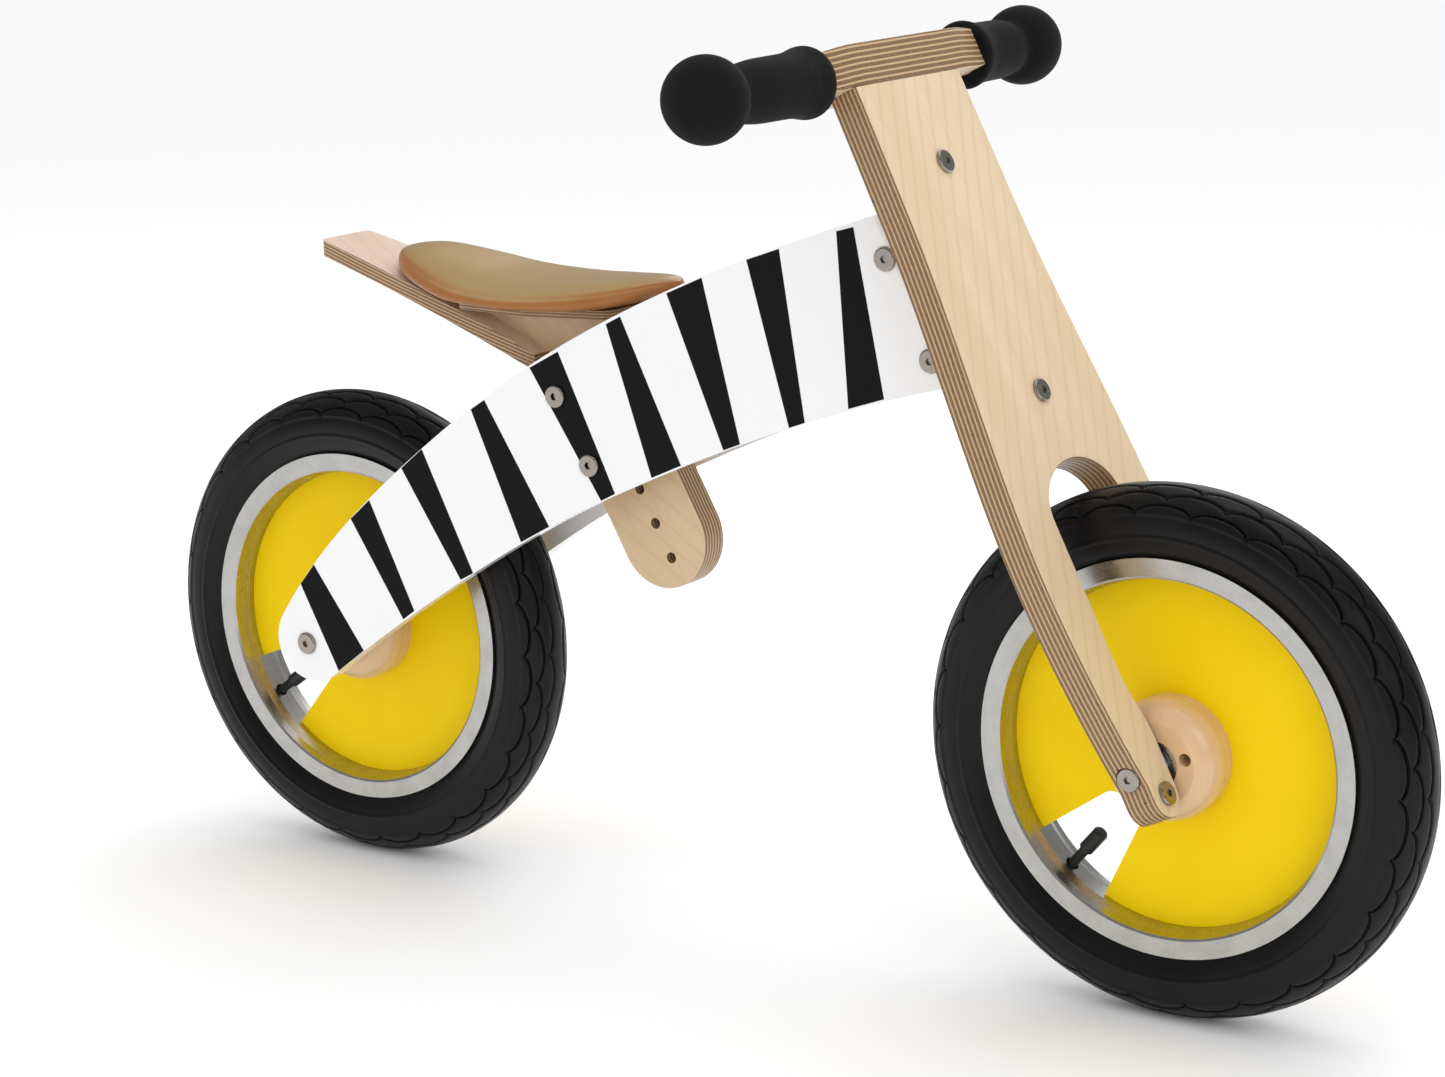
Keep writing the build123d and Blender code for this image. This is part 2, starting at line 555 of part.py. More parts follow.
# ---------------------------------------------------------------- fork pieces
def fork_outline():
    """Half of the fork plate in the fork frame, mirrored: waisted blade with a wheel slot."""
    ankle = (FORK_ANKLE_HALF_WIDTH, LEG_TIP_LEVEL + 8.0)
    hip_level = SLOT_TOP - 49.0
    hip = (FORK_HIP_HALF_WIDTH, hip_level)
    neck = (FORK_NECK_HALF_WIDTH, HEAD_TOP - 16.5)
    top = (FORK_TOP_HALF_WIDTH, FORK_TOP)
    leg_middle = (FORK_ANKLE_HALF_WIDTH + DROPOUT_HALF_GAP) / 2
    leg_radius = (FORK_ANKLE_HALF_WIDTH - DROPOUT_HALF_GAP) / 2
    waist = (FORK_NECK_HALF_WIDTH + 5.4, SLOT_TOP + 76.0)
    shoulder = (FORK_HIP_HALF_WIDTH - 3.2, SLOT_TOP + 8.0)
    shin = (FORK_HIP_HALF_WIDTH - 3.6, 0.557 * hip_level)
    side = Spline(neck, waist, shoulder, hip, shin, ankle)
    tip_start = (FORK_ANKLE_HALF_WIDTH, LEG_TIP_LEVEL)
    tip_end = (DROPOUT_HALF_GAP, LEG_TIP_LEVEL)
    flare = SLOT_HALF_WIDTH - DROPOUT_HALF_GAP
    inner = Spline(
        (DROPOUT_HALF_GAP, 12.0),
        (DROPOUT_HALF_GAP + 0.65 * flare, 0.29 * SLOT_SPRING_LEVEL),
        (DROPOUT_HALF_GAP + 0.93 * flare, 0.62 * SLOT_SPRING_LEVEL),
        (SLOT_HALF_WIDTH, SLOT_SPRING_LEVEL),
        tangents=[(0, 1), (0, 1)],
    )
    arch_top = (0.0, SLOT_SPRING_LEVEL + SLOT_ARCH_RISE)
    centre = (0, SLOT_SPRING_LEVEL)
    arch = EllipticalCenterArc(centre, SLOT_HALF_WIDTH, SLOT_ARCH_RISE, start_angle=0, arc_size=90)
    half = make_face([
        Line(arch_top, (0, FORK_TOP)),
        Line((0, FORK_TOP), top),
        Line(top, neck),
        side,
        Line(ankle, tip_start),
        ThreePointArc(tip_start, (leg_middle, LEG_TIP_LEVEL - leg_radius), tip_end),
        Line(tip_end, (DROPOUT_HALF_GAP, 12.0)),
        inner,
        arch,
    ])
    return half + mirror(half, about=Plane.YZ)


def fork_plate():
    plate = extrude(fork_outline(), FORK_THICKNESS / 2, both=True)
    rim = [e for e in plate.edges() if abs(abs(e.center().Z) - FORK_THICKNESS / 2) < 0.01
           and e.center().Y < FORK_TOP - 1]
    plate = fillet(rim, FORK_EDGE_ROUND)
    hole = BOLT_DIAMETER + 2 * HOLE_CLEARANCE
    for level in (FORK_BOLT_UPPER, FORK_BOLT_LOWER):
        plate -= Pos(0, level, 0) * Cylinder(hole / 2, 2 * FORK_THICKNESS)
    plate -= Rot(0, 90, 0) * Cylinder(hole / 2, 4 * FORK_HIP_HALF_WIDTH)
    for turn in (-90, 90):
        seat = rod(HEAD_DIAMETER + 2 * HEAD_ROOM, leg_outer_at_axle(), 2 * FORK_HIP_HALF_WIDTH)
        plate -= Rot(0, turn, 0) * seat
    for x in (-leg_screw_x(), leg_screw_x()):
        shank = rod(LEG_SCREW_DIAMETER, FORK_THICKNESS / 2 - LEG_SCREW_LENGTH, FORK_THICKNESS)
        plate -= Pos(x, LEG_TIP_LEVEL, 0) * shank
    for x in (-BAR_SCREW_SPACING / 2, BAR_SCREW_SPACING / 2):
        depth = BAR_SCREW_LENGTH
        plate -= Pos(x, FORK_TOP, 0) * Rot(-90, 0, 0) * rod(BAR_SCREW_DIAMETER, -depth, 1)
    return FORK * plate


def leg_screw_x():
    return (FORK_ANKLE_HALF_WIDTH + DROPOUT_HALF_GAP) / 2


def fork_bolt(level):
    length = FORK_THICKNESS + INSERT_DEPTH
    return FORK * Pos(0, level, FORK_THICKNESS / 2) * bolt(length)


def leg_screws():
    places = [Pos(side * leg_screw_x(), LEG_TIP_LEVEL, FORK_THICKNESS / 2) for side in (-1, 1)]
    return [FORK * place * bolt(LEG_SCREW_LENGTH, LEG_SCREW_DIAMETER) for place in places]


def bracket(low, high, bolt_level):
    """Wooden knuckle behind the fork plate: bolted to it, bored for the steering pin."""
    depth = STEER_SETBACK - FORK_THICKNESS / 2
    height = high - low
    mid = (low + high) / 2
    body = Pos(0, mid, -FORK_THICKNESS / 2 - depth / 2) * Box(2 * BRACKET_HALF_WIDTH, height, depth)
    nose = Pos(0, mid, -STEER_SETBACK) * Rot(90, 0, 0) * Cylinder(BRACKET_NOSE_RADIUS, height)
    knuckle = FORK * (body + nose)
    knuckle -= steer_rod(PIN_DIAMETER, low - 1, high + 1)
    reach = Pos(0, bolt_level, -FORK_THICKNESS / 2) * rod(BOLT_DIAMETER, -INSERT_DEPTH, 1)
    return knuckle - FORK * reach


def handlebar():
    """Plywood bar across the top of the fork plate, narrowing to round ends inside the grips."""
    middle = FORK_TOP + BAR_THICKNESS / 2
    centre = FORK_THICKNESS / 2 - BAR_DEPTH / 2
    plan = bar_outline(BAR_DEPTH / 2, BAR_END_DEPTH / 2)
    front = bar_outline(BAR_THICKNESS / 2, BAR_END_THICKNESS / 2)
    from_above = Rot(90, 0, 0) * extrude(plan, BAR_DEPTH, both=True)
    from_front = extrude(front, BAR_DEPTH, both=True)
    bar = from_above & from_front
    long_edges = bar.edges().filter_by(GeomType.LINE).filter_by(lambda e: e.length > BAR_DEPTH + 5)
    bar = fillet(long_edges, BAR_EDGE_ROUND)
    bar = bar + Rot(0, 90, 0) * Cylinder(BAR_DOWEL_DIAMETER / 2, 2 * BAR_DOWEL_END)
    for x in (-BAR_SCREW_SPACING / 2, BAR_SCREW_SPACING / 2):
        upright = Pos(x, 0, -centre) * Rot(-90, 0, 0)
        bar -= upright * rod(BAR_SCREW_DIAMETER + 2 * HOLE_CLEARANCE, -BAR_THICKNESS, BAR_THICKNESS)
        bar -= upright * rod(HEAD_DIAMETER + 2 * HEAD_ROOM, BAR_THICKNESS / 2 - BAR_SCREW_SINK, BAR_THICKNESS)
    return FORK * Pos(0, middle, centre) * bar


def bar_outline(middle_half, end_half):
    """Straight middle that narrows smoothly to a shoulder at each end, symmetric about its length."""
    right = bar_end(middle_half, end_half, BAR_SHOULDER_RIGHT)
    left = bar_end(middle_half, end_half, BAR_SHOULDER_LEFT)
    upper = left + mirror(right, about=Plane.YZ)
    return upper + mirror(upper, about=Plane.XZ)


def bar_end(middle_half, end_half, shoulder):
    """Quarter of the bar's outline, from its middle to one shoulder."""
    start = shoulder - BAR_TAPER
    curve = Spline((start, middle_half), (shoulder, end_half), tangents=[(1, 0), (1, -0.1)])
    return make_face([
        Line((0, 0), (0, middle_half)),
        Line((0, middle_half), (start, middle_half)),
        curve,
        Line((shoulder, end_half), (shoulder, 0)),
        Line((shoulder, 0), (0, 0)),
    ])


def bar_screws():
    level = FORK_TOP + BAR_THICKNESS - BAR_SCREW_SINK
    length = BAR_THICKNESS - BAR_SCREW_SINK + BAR_SCREW_LENGTH
    places = [Pos(side * BAR_SCREW_SPACING / 2, level, 0) * Rot(-90, 0, 0) for side in (-1, 1)]
    return [FORK * place * bolt(length, BAR_SCREW_DIAMETER) for place in places]


def grip(side):
    """Foam grip: flared mouth, plain barrel, ball end."""
    bore = BAR_DOWEL_DIAMETER / 2 + SOFT_CLEARANCE
    mouth = (BAR_SHOULDER_LEFT if side > 0 else BAR_SHOULDER_RIGHT) + SOFT_CLEARANCE
    flare = GRIP_FLARE_DIAMETER / 2
    barrel = GRIP_DIAMETER / 2
    ball = GRIP_BULB_DIAMETER / 2
    end = GRIP_BULB_CENTRE + ball
    bore_end = BAR_DOWEL_END + SOFT_CLEARANCE
    neck_angle = radians(140)
    neck = (GRIP_BULB_CENTRE + ball * cos(neck_angle), ball * sin(neck_angle))
    outline = make_face([
        Line((mouth, bore), (mouth, flare - 2.5)),
        ThreePointArc((mouth, flare - 2.5), (mouth + 0.8, flare - 0.7), (mouth + 2.5, flare)),
        Spline((mouth + 2.5, flare), (mouth + 12, barrel), tangents=[(1, 0), (1, 0)]),
        Line((mouth + 12, barrel), (neck[0] - 8, barrel)),
        Spline((neck[0] - 8, barrel), neck, tangents=[(1, 0), (sin(neck_angle), -cos(neck_angle))]),
        ThreePointArc(neck, (GRIP_BULB_CENTRE + ball * cos(radians(60)), ball * sin(radians(60))), (end, 0)),
        Line((end, 0), (bore_end, 0)),
        Line((bore_end, 0), (bore_end, bore)),
        Line((bore_end, bore), (mouth, bore)),
    ])
    solid = revolve(outline, Axis.X, 360)
    turn = Rot(0, 0, 0) if side > 0 else Rot(0, 180, 0)
    middle = FORK_TOP + BAR_THICKNESS / 2
    centre = FORK_THICKNESS / 2 - BAR_DEPTH / 2
    return FORK * Pos(0, middle, centre) * turn * solid


def steering_pin():
    """Steering bolt: head on the upper knuckle, shank through head block and lower knuckle."""
    low = LOWER_BRACKET[0] - LOCKNUT_HEIGHT - 2
    high = UPPER_BRACKET[1]
    return steer_rod(PIN_DIAMETER, low, high) + steer_rod(PIN_HEAD_DIAMETER, high, high + PIN_HEAD_HEIGHT)


def steering_nut():
    low = LOWER_BRACKET[0] - LOCKNUT_HEIGHT
    hexagon = extrude(RegularPolygon(LOCKNUT_FLATS / 2, 6, major_radius=False), LOCKNUT_HEIGHT)
    place = FORK * Pos(0, low, -STEER_SETBACK) * Rot(-90, 0, 0)
    return place * hexagon - steer_rod(PIN_DIAMETER, low - 1, LOWER_BRACKET[0] + 1)


UPPER_BRACKET = (HEAD_TOP + THRUST_THICKNESS, HEAD_TOP + THRUST_THICKNESS + BRACKET_UPPER_HEIGHT)
LOWER_BRACKET = (HEAD_BOTTOM - THRUST_THICKNESS - BRACKET_LOWER_HEIGHT, HEAD_BOTTOM - THRUST_THICKNESS)


# ---------------------------------------------------------------- wheel pieces
# A wheel is drawn about +Z at the origin and turned so that +Z points to the left.
def place_wheel(shape, x):
    plane = Plane(origin=(x, 0, AXLE_LEVEL), x_dir=(1, 0, 0), z_dir=(0, 1, 0))
    if isinstance(shape, list):
        return [plane * piece for piece in shape]
    return plane * shape


def turned(points):
    """Ring of revolution about Z from a closed outline of (radius, height) points."""
    outline = make_face(Polyline(*points, close=True))
    return revolve(Plane.XZ * outline, Axis.Z, 360)


def rim(notch_angle):
    """Rolled rim: bead hooks, flat outer rings and a shallow well."""
    w = RIM_HALF_WIDTH
    t = RIM_FLANGE_WALL
    outline = [
        (FLANGE_RADIUS, w), (FLANGE_RADIUS, w - t), (BEAD_RADIUS + 0.6, w - t), (BEAD_RADIUS, w - t - 0.8),
        (BEAD_RADIUS, 10.0), (RIM_WELL_RADIUS + RIM_WELL_WALL, 7.0),
    ]
    inside = [
        (RIM_WELL_RADIUS, 6.0), (RIM_FACE_RADIUS - 1.9, 11.0), (RIM_FACE_RADIUS - 1.2, w - 1.2),
        (RIM_FACE_RADIUS, w - 0.4),
    ]
    lower = [(r, -z) for r, z in reversed(outline)]
    lower_inside = [(r, -z) for r, z in inside]
    ring = turned(outline + lower + list(reversed(lower_inside)) + inside)
    hole = valve_place(notch_angle) * rod(VALVE_STEM_DIAMETER + 2.4, RIM_WELL_RADIUS - 5, BEAD_RADIUS + 5)
    return ring - hole


def valve_place(notch_angle):
    """Placement whose +Z runs outwards along the valve, in the wheel's own frame."""
    return Rot(0, 0, -notch_angle) * Rot(0, 90, 0)


def tyre():
    """Tyre carcass: round section, open between the beads."""
    c = TYRE_CENTRE
    outer = TYRE_SECTION
    inner = TYRE_SECTION - TYRE_WALL
    bead_out = RIM_HALF_WIDTH - RIM_FLANGE_WALL - 0.2
    bead_in = bead_out - 3.4
    seat = BEAD_RADIUS + 0.2
    hook = FLANGE_RADIUS + 0.4
    hook_z = sqrt(outer ** 2 - (c - hook) ** 2)
    inner_r = FLANGE_RADIUS + 0.3
    inner_z = sqrt(inner ** 2 - (c - inner_r) ** 2)
    half = make_face([
        ThreePointArc((c + outer, 0), (c, outer), (hook, hook_z)),
        Line((hook, hook_z), (hook, bead_out)),
        Line((hook, bead_out), (seat + 0.9, bead_out)),
        Line((seat + 0.9, bead_out), (seat, bead_out - 1.0)),
        Line((seat, bead_out - 1.0), (seat, bead_in)),
        Line((seat, bead_in), (inner_r, inner_z)),
        ThreePointArc((inner_r, inner_z), (c, inner), (c + inner, 0)),
        Line((c + inner, 0), (c + outer, 0)),
    ])
    section = half + mirror(half, about=Plane.XZ)
    return revolve(Plane.XZ * section, Axis.Z, 360)


def inner_tube(notch_angle):
    """Inner tube with its moulded valve stem."""
    ring = Torus(TYRE_CENTRE, TUBE_SECTION)
    stem_end = TYRE_CENTRE - TUBE_SECTION + 2.0
    stem = valve_place(notch_angle) * rod(VALVE_STEM_DIAMETER, VALVE_TIP_RADIUS + 2.0, stem_end)
    ring = ring + stem
    hollow = Torus(TYRE_CENTRE, TUBE_SECTION - TUBE_WALL)
    return ring - hollow


def valve_cap(notch_angle):
    low = VALVE_TIP_RADIUS
    cap = rod(VALVE_CAP_DIAMETER, low, low + VALVE_CAP_LENGTH)
    cap = fillet(cap.faces().sort_by(Axis.Z)[0].edges(), 2.0)
    cap -= rod(VALVE_STEM_DIAMETER, low + 2.0, low + VALVE_CAP_LENGTH + 1)
    return valve_place(notch_angle) * cap


def disc(notch_angle):
    """Flat wheel disc with a fan-shaped notch that opens to the rim beside the valve."""
    radius = RIM_WELL_RADIUS - RUNNING_CLEARANCE
    plate = Circle(radius)
    reach = RIM_WELL_RADIUS * 1.3
    a = radians(NOTCH_HALF_ANGLE)
    root = NOTCH_ROOT_RADIUS
    wedge = make_face(Polyline(
        (root * cos(a), -root * sin(a)), (reach * cos(a), -reach * sin(a)),
        (reach * cos(a), reach * sin(a)), (root * cos(a), root * sin(a)), close=True))
    wedge = fillet(wedge.vertices().group_by(Axis.X)[0], NOTCH_CORNER)
    plate -= Rot(0, 0, -notch_angle) * wedge
    plate -= Circle(HUB_CORE_RADIUS)
    board = extrude(plate, DISC_THICKNESS / 2, both=True)
    for hole in screw_places(notch_angle):
        board -= hole * Cylinder(HUB_SCREW_DIAMETER / 2 + HOLE_CLEARANCE, 3 * DISC_THICKNESS)
    return board


def screw_places(notch_angle):
    start = HUB_SCREW_ANGLE + notch_angle - FRONT_NOTCH_ANGLE
    step = 360 / HUB_SCREW_COUNT
    return [Rot(0, 0, -(start + i * step)) * Pos(HUB_SCREW_CIRCLE, 0, 0) for i in range(HUB_SCREW_COUNT)]


def hub_half(side, notch_angle):
    """Turned wooden hub half: bell outside, flat face, bearing seat. side is -1 right, +1 left."""
    low = DISC_THICKNESS / 2
    edge = low + HUB_RIM_HEIGHT
    top = HUB_HALF_WIDTH
    seat = BEARING_DIAMETER / 2
    seat_level = top - BEARING_WIDTH
    mid_r = (HUB_RADIUS + HUB_FACE_RADIUS) / 2 + 3.2
    mid_z = (edge + top) / 2 + 3.0
    outline = make_face([
        Line((HUB_CORE_RADIUS, low), (HUB_RADIUS, low)),
        Line((HUB_RADIUS, low), (HUB_RADIUS, edge)),
        ThreePointArc((HUB_RADIUS, edge), (mid_r, mid_z), (HUB_FACE_RADIUS, top)),
        Line((HUB_FACE_RADIUS, top), (seat, top)),
        Line((seat, top), (seat, seat_level)),
        Line((seat, seat_level), (HUB_CORE_RADIUS, seat_level)),
        Line((HUB_CORE_RADIUS, seat_level), (HUB_CORE_RADIUS, low)),
    ])
    bell = revolve(Plane.XZ * outline, Axis.Z, 360)
    if side < 0:
        bell = mirror(bell, about=Plane.XY)
    sink = top - HUB_SCREW_SINK
    for hole in screw_places(notch_angle):
        if side < 0:
            bell -= hole * rod(HUB_SCREW_HEAD_DIAMETER + 2 * HOLE_CLEARANCE, -top - 1, -sink)
            bell -= hole * rod(HUB_SCREW_DIAMETER + 2 * HOLE_CLEARANCE, -sink - 1, 0)
        else:
            bell -= hole * rod(HUB_SCREW_DIAMETER, 0, low + HUB_SCREW_REACH)
    return bell


def hub_screws(notch_angle):
    """Three screws from the right-hand hub half through the disc into the left-hand one."""
    sink = HUB_HALF_WIDTH - HUB_SCREW_SINK
    head = rod(HUB_SCREW_HEAD_DIAMETER, -sink - HUB_SCREW_HEAD_HEIGHT, -sink)
    socket = extrude(RegularPolygon(1.5, 6, major_radius=False), 1.8)
    head -= Pos(0, 0, -sink - HUB_SCREW_HEAD_HEIGHT) * socket
    screw = head + rod(HUB_SCREW_DIAMETER, -sink, DISC_THICKNESS / 2 + HUB_SCREW_REACH)
    return [place * screw for place in screw_places(notch_angle)]


def bearing(side):
    """Sealed ball bearing: outer and inner race with a recessed shield between them."""
    outer = BEARING_DIAMETER / 2
    bore = AXLE_DIAMETER / 2 + RUNNING_CLEARANCE
    ring = rod(2 * outer, HUB_HALF_WIDTH - BEARING_WIDTH, HUB_HALF_WIDTH)
    ring -= rod(2 * bore, 0, HUB_HALF_WIDTH + 1)
    groove = rod(2 * outer - 4.4, HUB_HALF_WIDTH - 0.5, HUB_HALF_WIDTH + 1)
    groove -= rod(2 * bore + 4.2, 0, HUB_HALF_WIDTH + 2)
    ring -= groove
    return ring if side > 0 else mirror(ring, about=Plane.XY)


def wheel(name, x, notch_angle):
    """All pieces of one wheel, by node name."""
    pieces = {
        "rim": rim(notch_angle),
        "tyre": tyre(),
        "inner_tube": inner_tube(notch_angle),
        "valve_cap": valve_cap(notch_angle),
        "disc": disc(notch_angle),
        "hub_right": hub_half(-1, notch_angle),
        "hub_left": hub_half(1, notch_angle),
        "bearing_right": bearing(-1),
        "bearing_left": bearing(1),
        "hub_screws": hub_screws(notch_angle),
    }
    return {name + "_" + key: place_wheel(shape, x) for key, shape in pieces.items()}


# ---------------------------------------------------------------- assembly
def frame_nodes():
    upper_head, lower_head = HEAD_BOLTS
    upper_seat, lower_seat = SEAT_BOLTS
    rear_half = inner_y(AXLE_DIAMETER / 2) - FACE_GAP
    spacer_diameter = 18.0
    spacer_end = inner_y(spacer_diameter / 2) - FACE_GAP
    hub_end = HUB_HALF_WIDTH + FACE_GAP
    thread = AXLE_THREAD_DEPTH
    rear_bolt = seat_y(0) - rear_half + thread
    return {
        "panel_right": panel_right(),
        "panel_left": panel_left(),
        "head_block": head_block(),
        "steering_bush_upper": steering_bush(True),
        "steering_bush_lower": steering_bush(False),
        "head_bolt_upper": through_bolt(*upper_head),
        "head_bolt_lower": through_bolt(*lower_head),
        "head_nuts": [through_nut(*upper_head), through_nut(*lower_head)],
        "seat_post": seat_post(),
        "seat_spacer_right": seat_spacer(-1),
        "seat_spacer_left": seat_spacer(1),
        "seat_bolt_upper": through_bolt(*upper_seat),
        "seat_bolt_lower": through_bolt(*lower_seat),
        "seat_nuts": [through_nut(*upper_seat), through_nut(*lower_seat)],
        "tail_plate": tail_plate(),
        "saddle_base": saddle_base(),
        "saddle_pad": saddle_pad(),
        "rear_axle": axle_tube(0, rear_half),
        "rear_axle_bolts": [place(0, 0, seat_y(0)) * bolt(rear_bolt) for place in (on_right, on_left)],
        "rear_spacer_right": axle_spacer(0, spacer_diameter, hub_end, spacer_end, -1),
        "rear_spacer_left": axle_spacer(0, spacer_diameter, hub_end, spacer_end, 1),
    }


def fork_nodes():
    hub_end = HUB_HALF_WIDTH + FACE_GAP
    leg_outer = leg_outer_at_axle()
    reach = leg_outer - DROPOUT_HALF_GAP + AXLE_THREAD_DEPTH
    return {
        "fork_plate": fork_plate(),
        "knuckle_upper": bracket(*UPPER_BRACKET, FORK_BOLT_UPPER),
        "knuckle_lower": bracket(*LOWER_BRACKET, FORK_BOLT_LOWER),
        "steering_pin": steering_pin(),
        "steering_nut": steering_nut(),
        "fork_bolt_upper": fork_bolt(FORK_BOLT_UPPER),
        "fork_bolt_lower": fork_bolt(FORK_BOLT_LOWER),
        "handlebar": handlebar(),
        "grip_right": grip(-1),
        "grip_left": grip(1),
        "handlebar_screws": bar_screws(),
        "leg_screws": leg_screws(),
        "front_axle": axle_tube(WHEELBASE, DROPOUT_HALF_GAP),
        "front_axle_bolts": [place(WHEELBASE, 0, leg_outer) * bolt(reach) for place in (on_right, on_left)],
        "front_washer_right": axle_spacer(WHEELBASE, 16.0, hub_end, DROPOUT_HALF_GAP, -1),
        "front_washer_left": axle_spacer(WHEELBASE, 16.0, hub_end, DROPOUT_HALF_GAP, 1),
    }


def leg_outer_at_axle():
    """Outermost place of the fork leg under an axle bolt's head."""
    return FORK_ANKLE_HALF_WIDTH


nodes = {}
nodes.update(frame_nodes())
nodes.update(fork_nodes())
nodes.update(wheel("front", FRONT_X, FRONT_NOTCH_ANGLE))
nodes.update(wheel("rear", REAR_X, REAR_NOTCH_ANGLE))

os.makedirs("parts", exist_ok=True)
for node, shape in nodes.items():
    if isinstance(shape, list):
        shape = Compound(children=shape)
    export_step(shape, "parts/" + node + ".step")
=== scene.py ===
import math

import bmesh
import bpy
from mathutils import Matrix, Vector


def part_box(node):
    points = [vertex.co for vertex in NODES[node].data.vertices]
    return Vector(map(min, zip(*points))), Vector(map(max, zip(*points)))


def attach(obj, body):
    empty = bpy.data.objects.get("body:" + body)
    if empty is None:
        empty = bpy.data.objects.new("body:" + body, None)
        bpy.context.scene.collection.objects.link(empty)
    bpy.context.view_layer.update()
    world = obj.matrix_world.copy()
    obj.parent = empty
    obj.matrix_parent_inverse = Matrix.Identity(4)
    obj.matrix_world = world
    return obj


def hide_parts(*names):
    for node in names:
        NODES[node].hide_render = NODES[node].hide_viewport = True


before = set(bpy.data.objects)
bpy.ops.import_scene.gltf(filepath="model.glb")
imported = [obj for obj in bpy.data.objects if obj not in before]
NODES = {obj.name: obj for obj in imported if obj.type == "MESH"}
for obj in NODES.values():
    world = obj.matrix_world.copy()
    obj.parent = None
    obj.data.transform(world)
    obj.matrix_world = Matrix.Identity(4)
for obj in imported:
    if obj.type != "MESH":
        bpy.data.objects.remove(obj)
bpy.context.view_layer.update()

TILT = math.radians(26.1)                                # lean of the fork plate
UP = Vector((-math.sin(TILT), 0.0, math.cos(TILT)))      # up along the fork plate
AHEAD = Vector((math.cos(TILT), 0.0, math.sin(TILT)))    # out of its front face
ACROSS = (0, 1, 0)
POST_DOWN = (0.482, 0, -0.876)                           # down along the seat post
TAIL_NORMAL = (0.29, 0, 0.957)
TAIL_ALONG = (0.957, 0, -0.29)
BAR_LEVEL = 0.39425                                      # middle of the handlebar, up along the fork plate


def centre(node):
    low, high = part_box(node)
    return (Vector(low) + Vector(high)) / 2


FRONT_AXLE = centre("front_tyre")
REAR_AXLE = centre("rear_tyre")

# Tyre section, metres.
TYRE_RADIUS = 0.145
TYRE_HALF_WIDTH = 0.02175
TYRE_RING_RADIUS = TYRE_RADIUS - TYRE_HALF_WIDTH
RIM_FLANGE_RADIUS = 0.1089

# Tread: chains of arcs as (shift along the chain, level of the feet, rise of the arcs). Levels run from 0 at
# the crown to 1 where the sidewall stands upright. An arc's bow is sqrt(TREAD_BOW - t * t), t from -1 to 1.
TREAD_CELLS = 26
TREAD_STEPS = 22                                         # mesh steps round the wheel per cell
TREAD_CHAINS = ((0.0, 0.74, 0.17), (0.5, 0.50, 0.16), (0.0, 0.27, 0.14))
TREAD_BOW = 1.02
TREAD_EDGE = 0.80                                        # no groove is cut beyond this level
GROOVE_DEPTH = 0.0011
GROOVE_HALF_WIDTH = 0.030


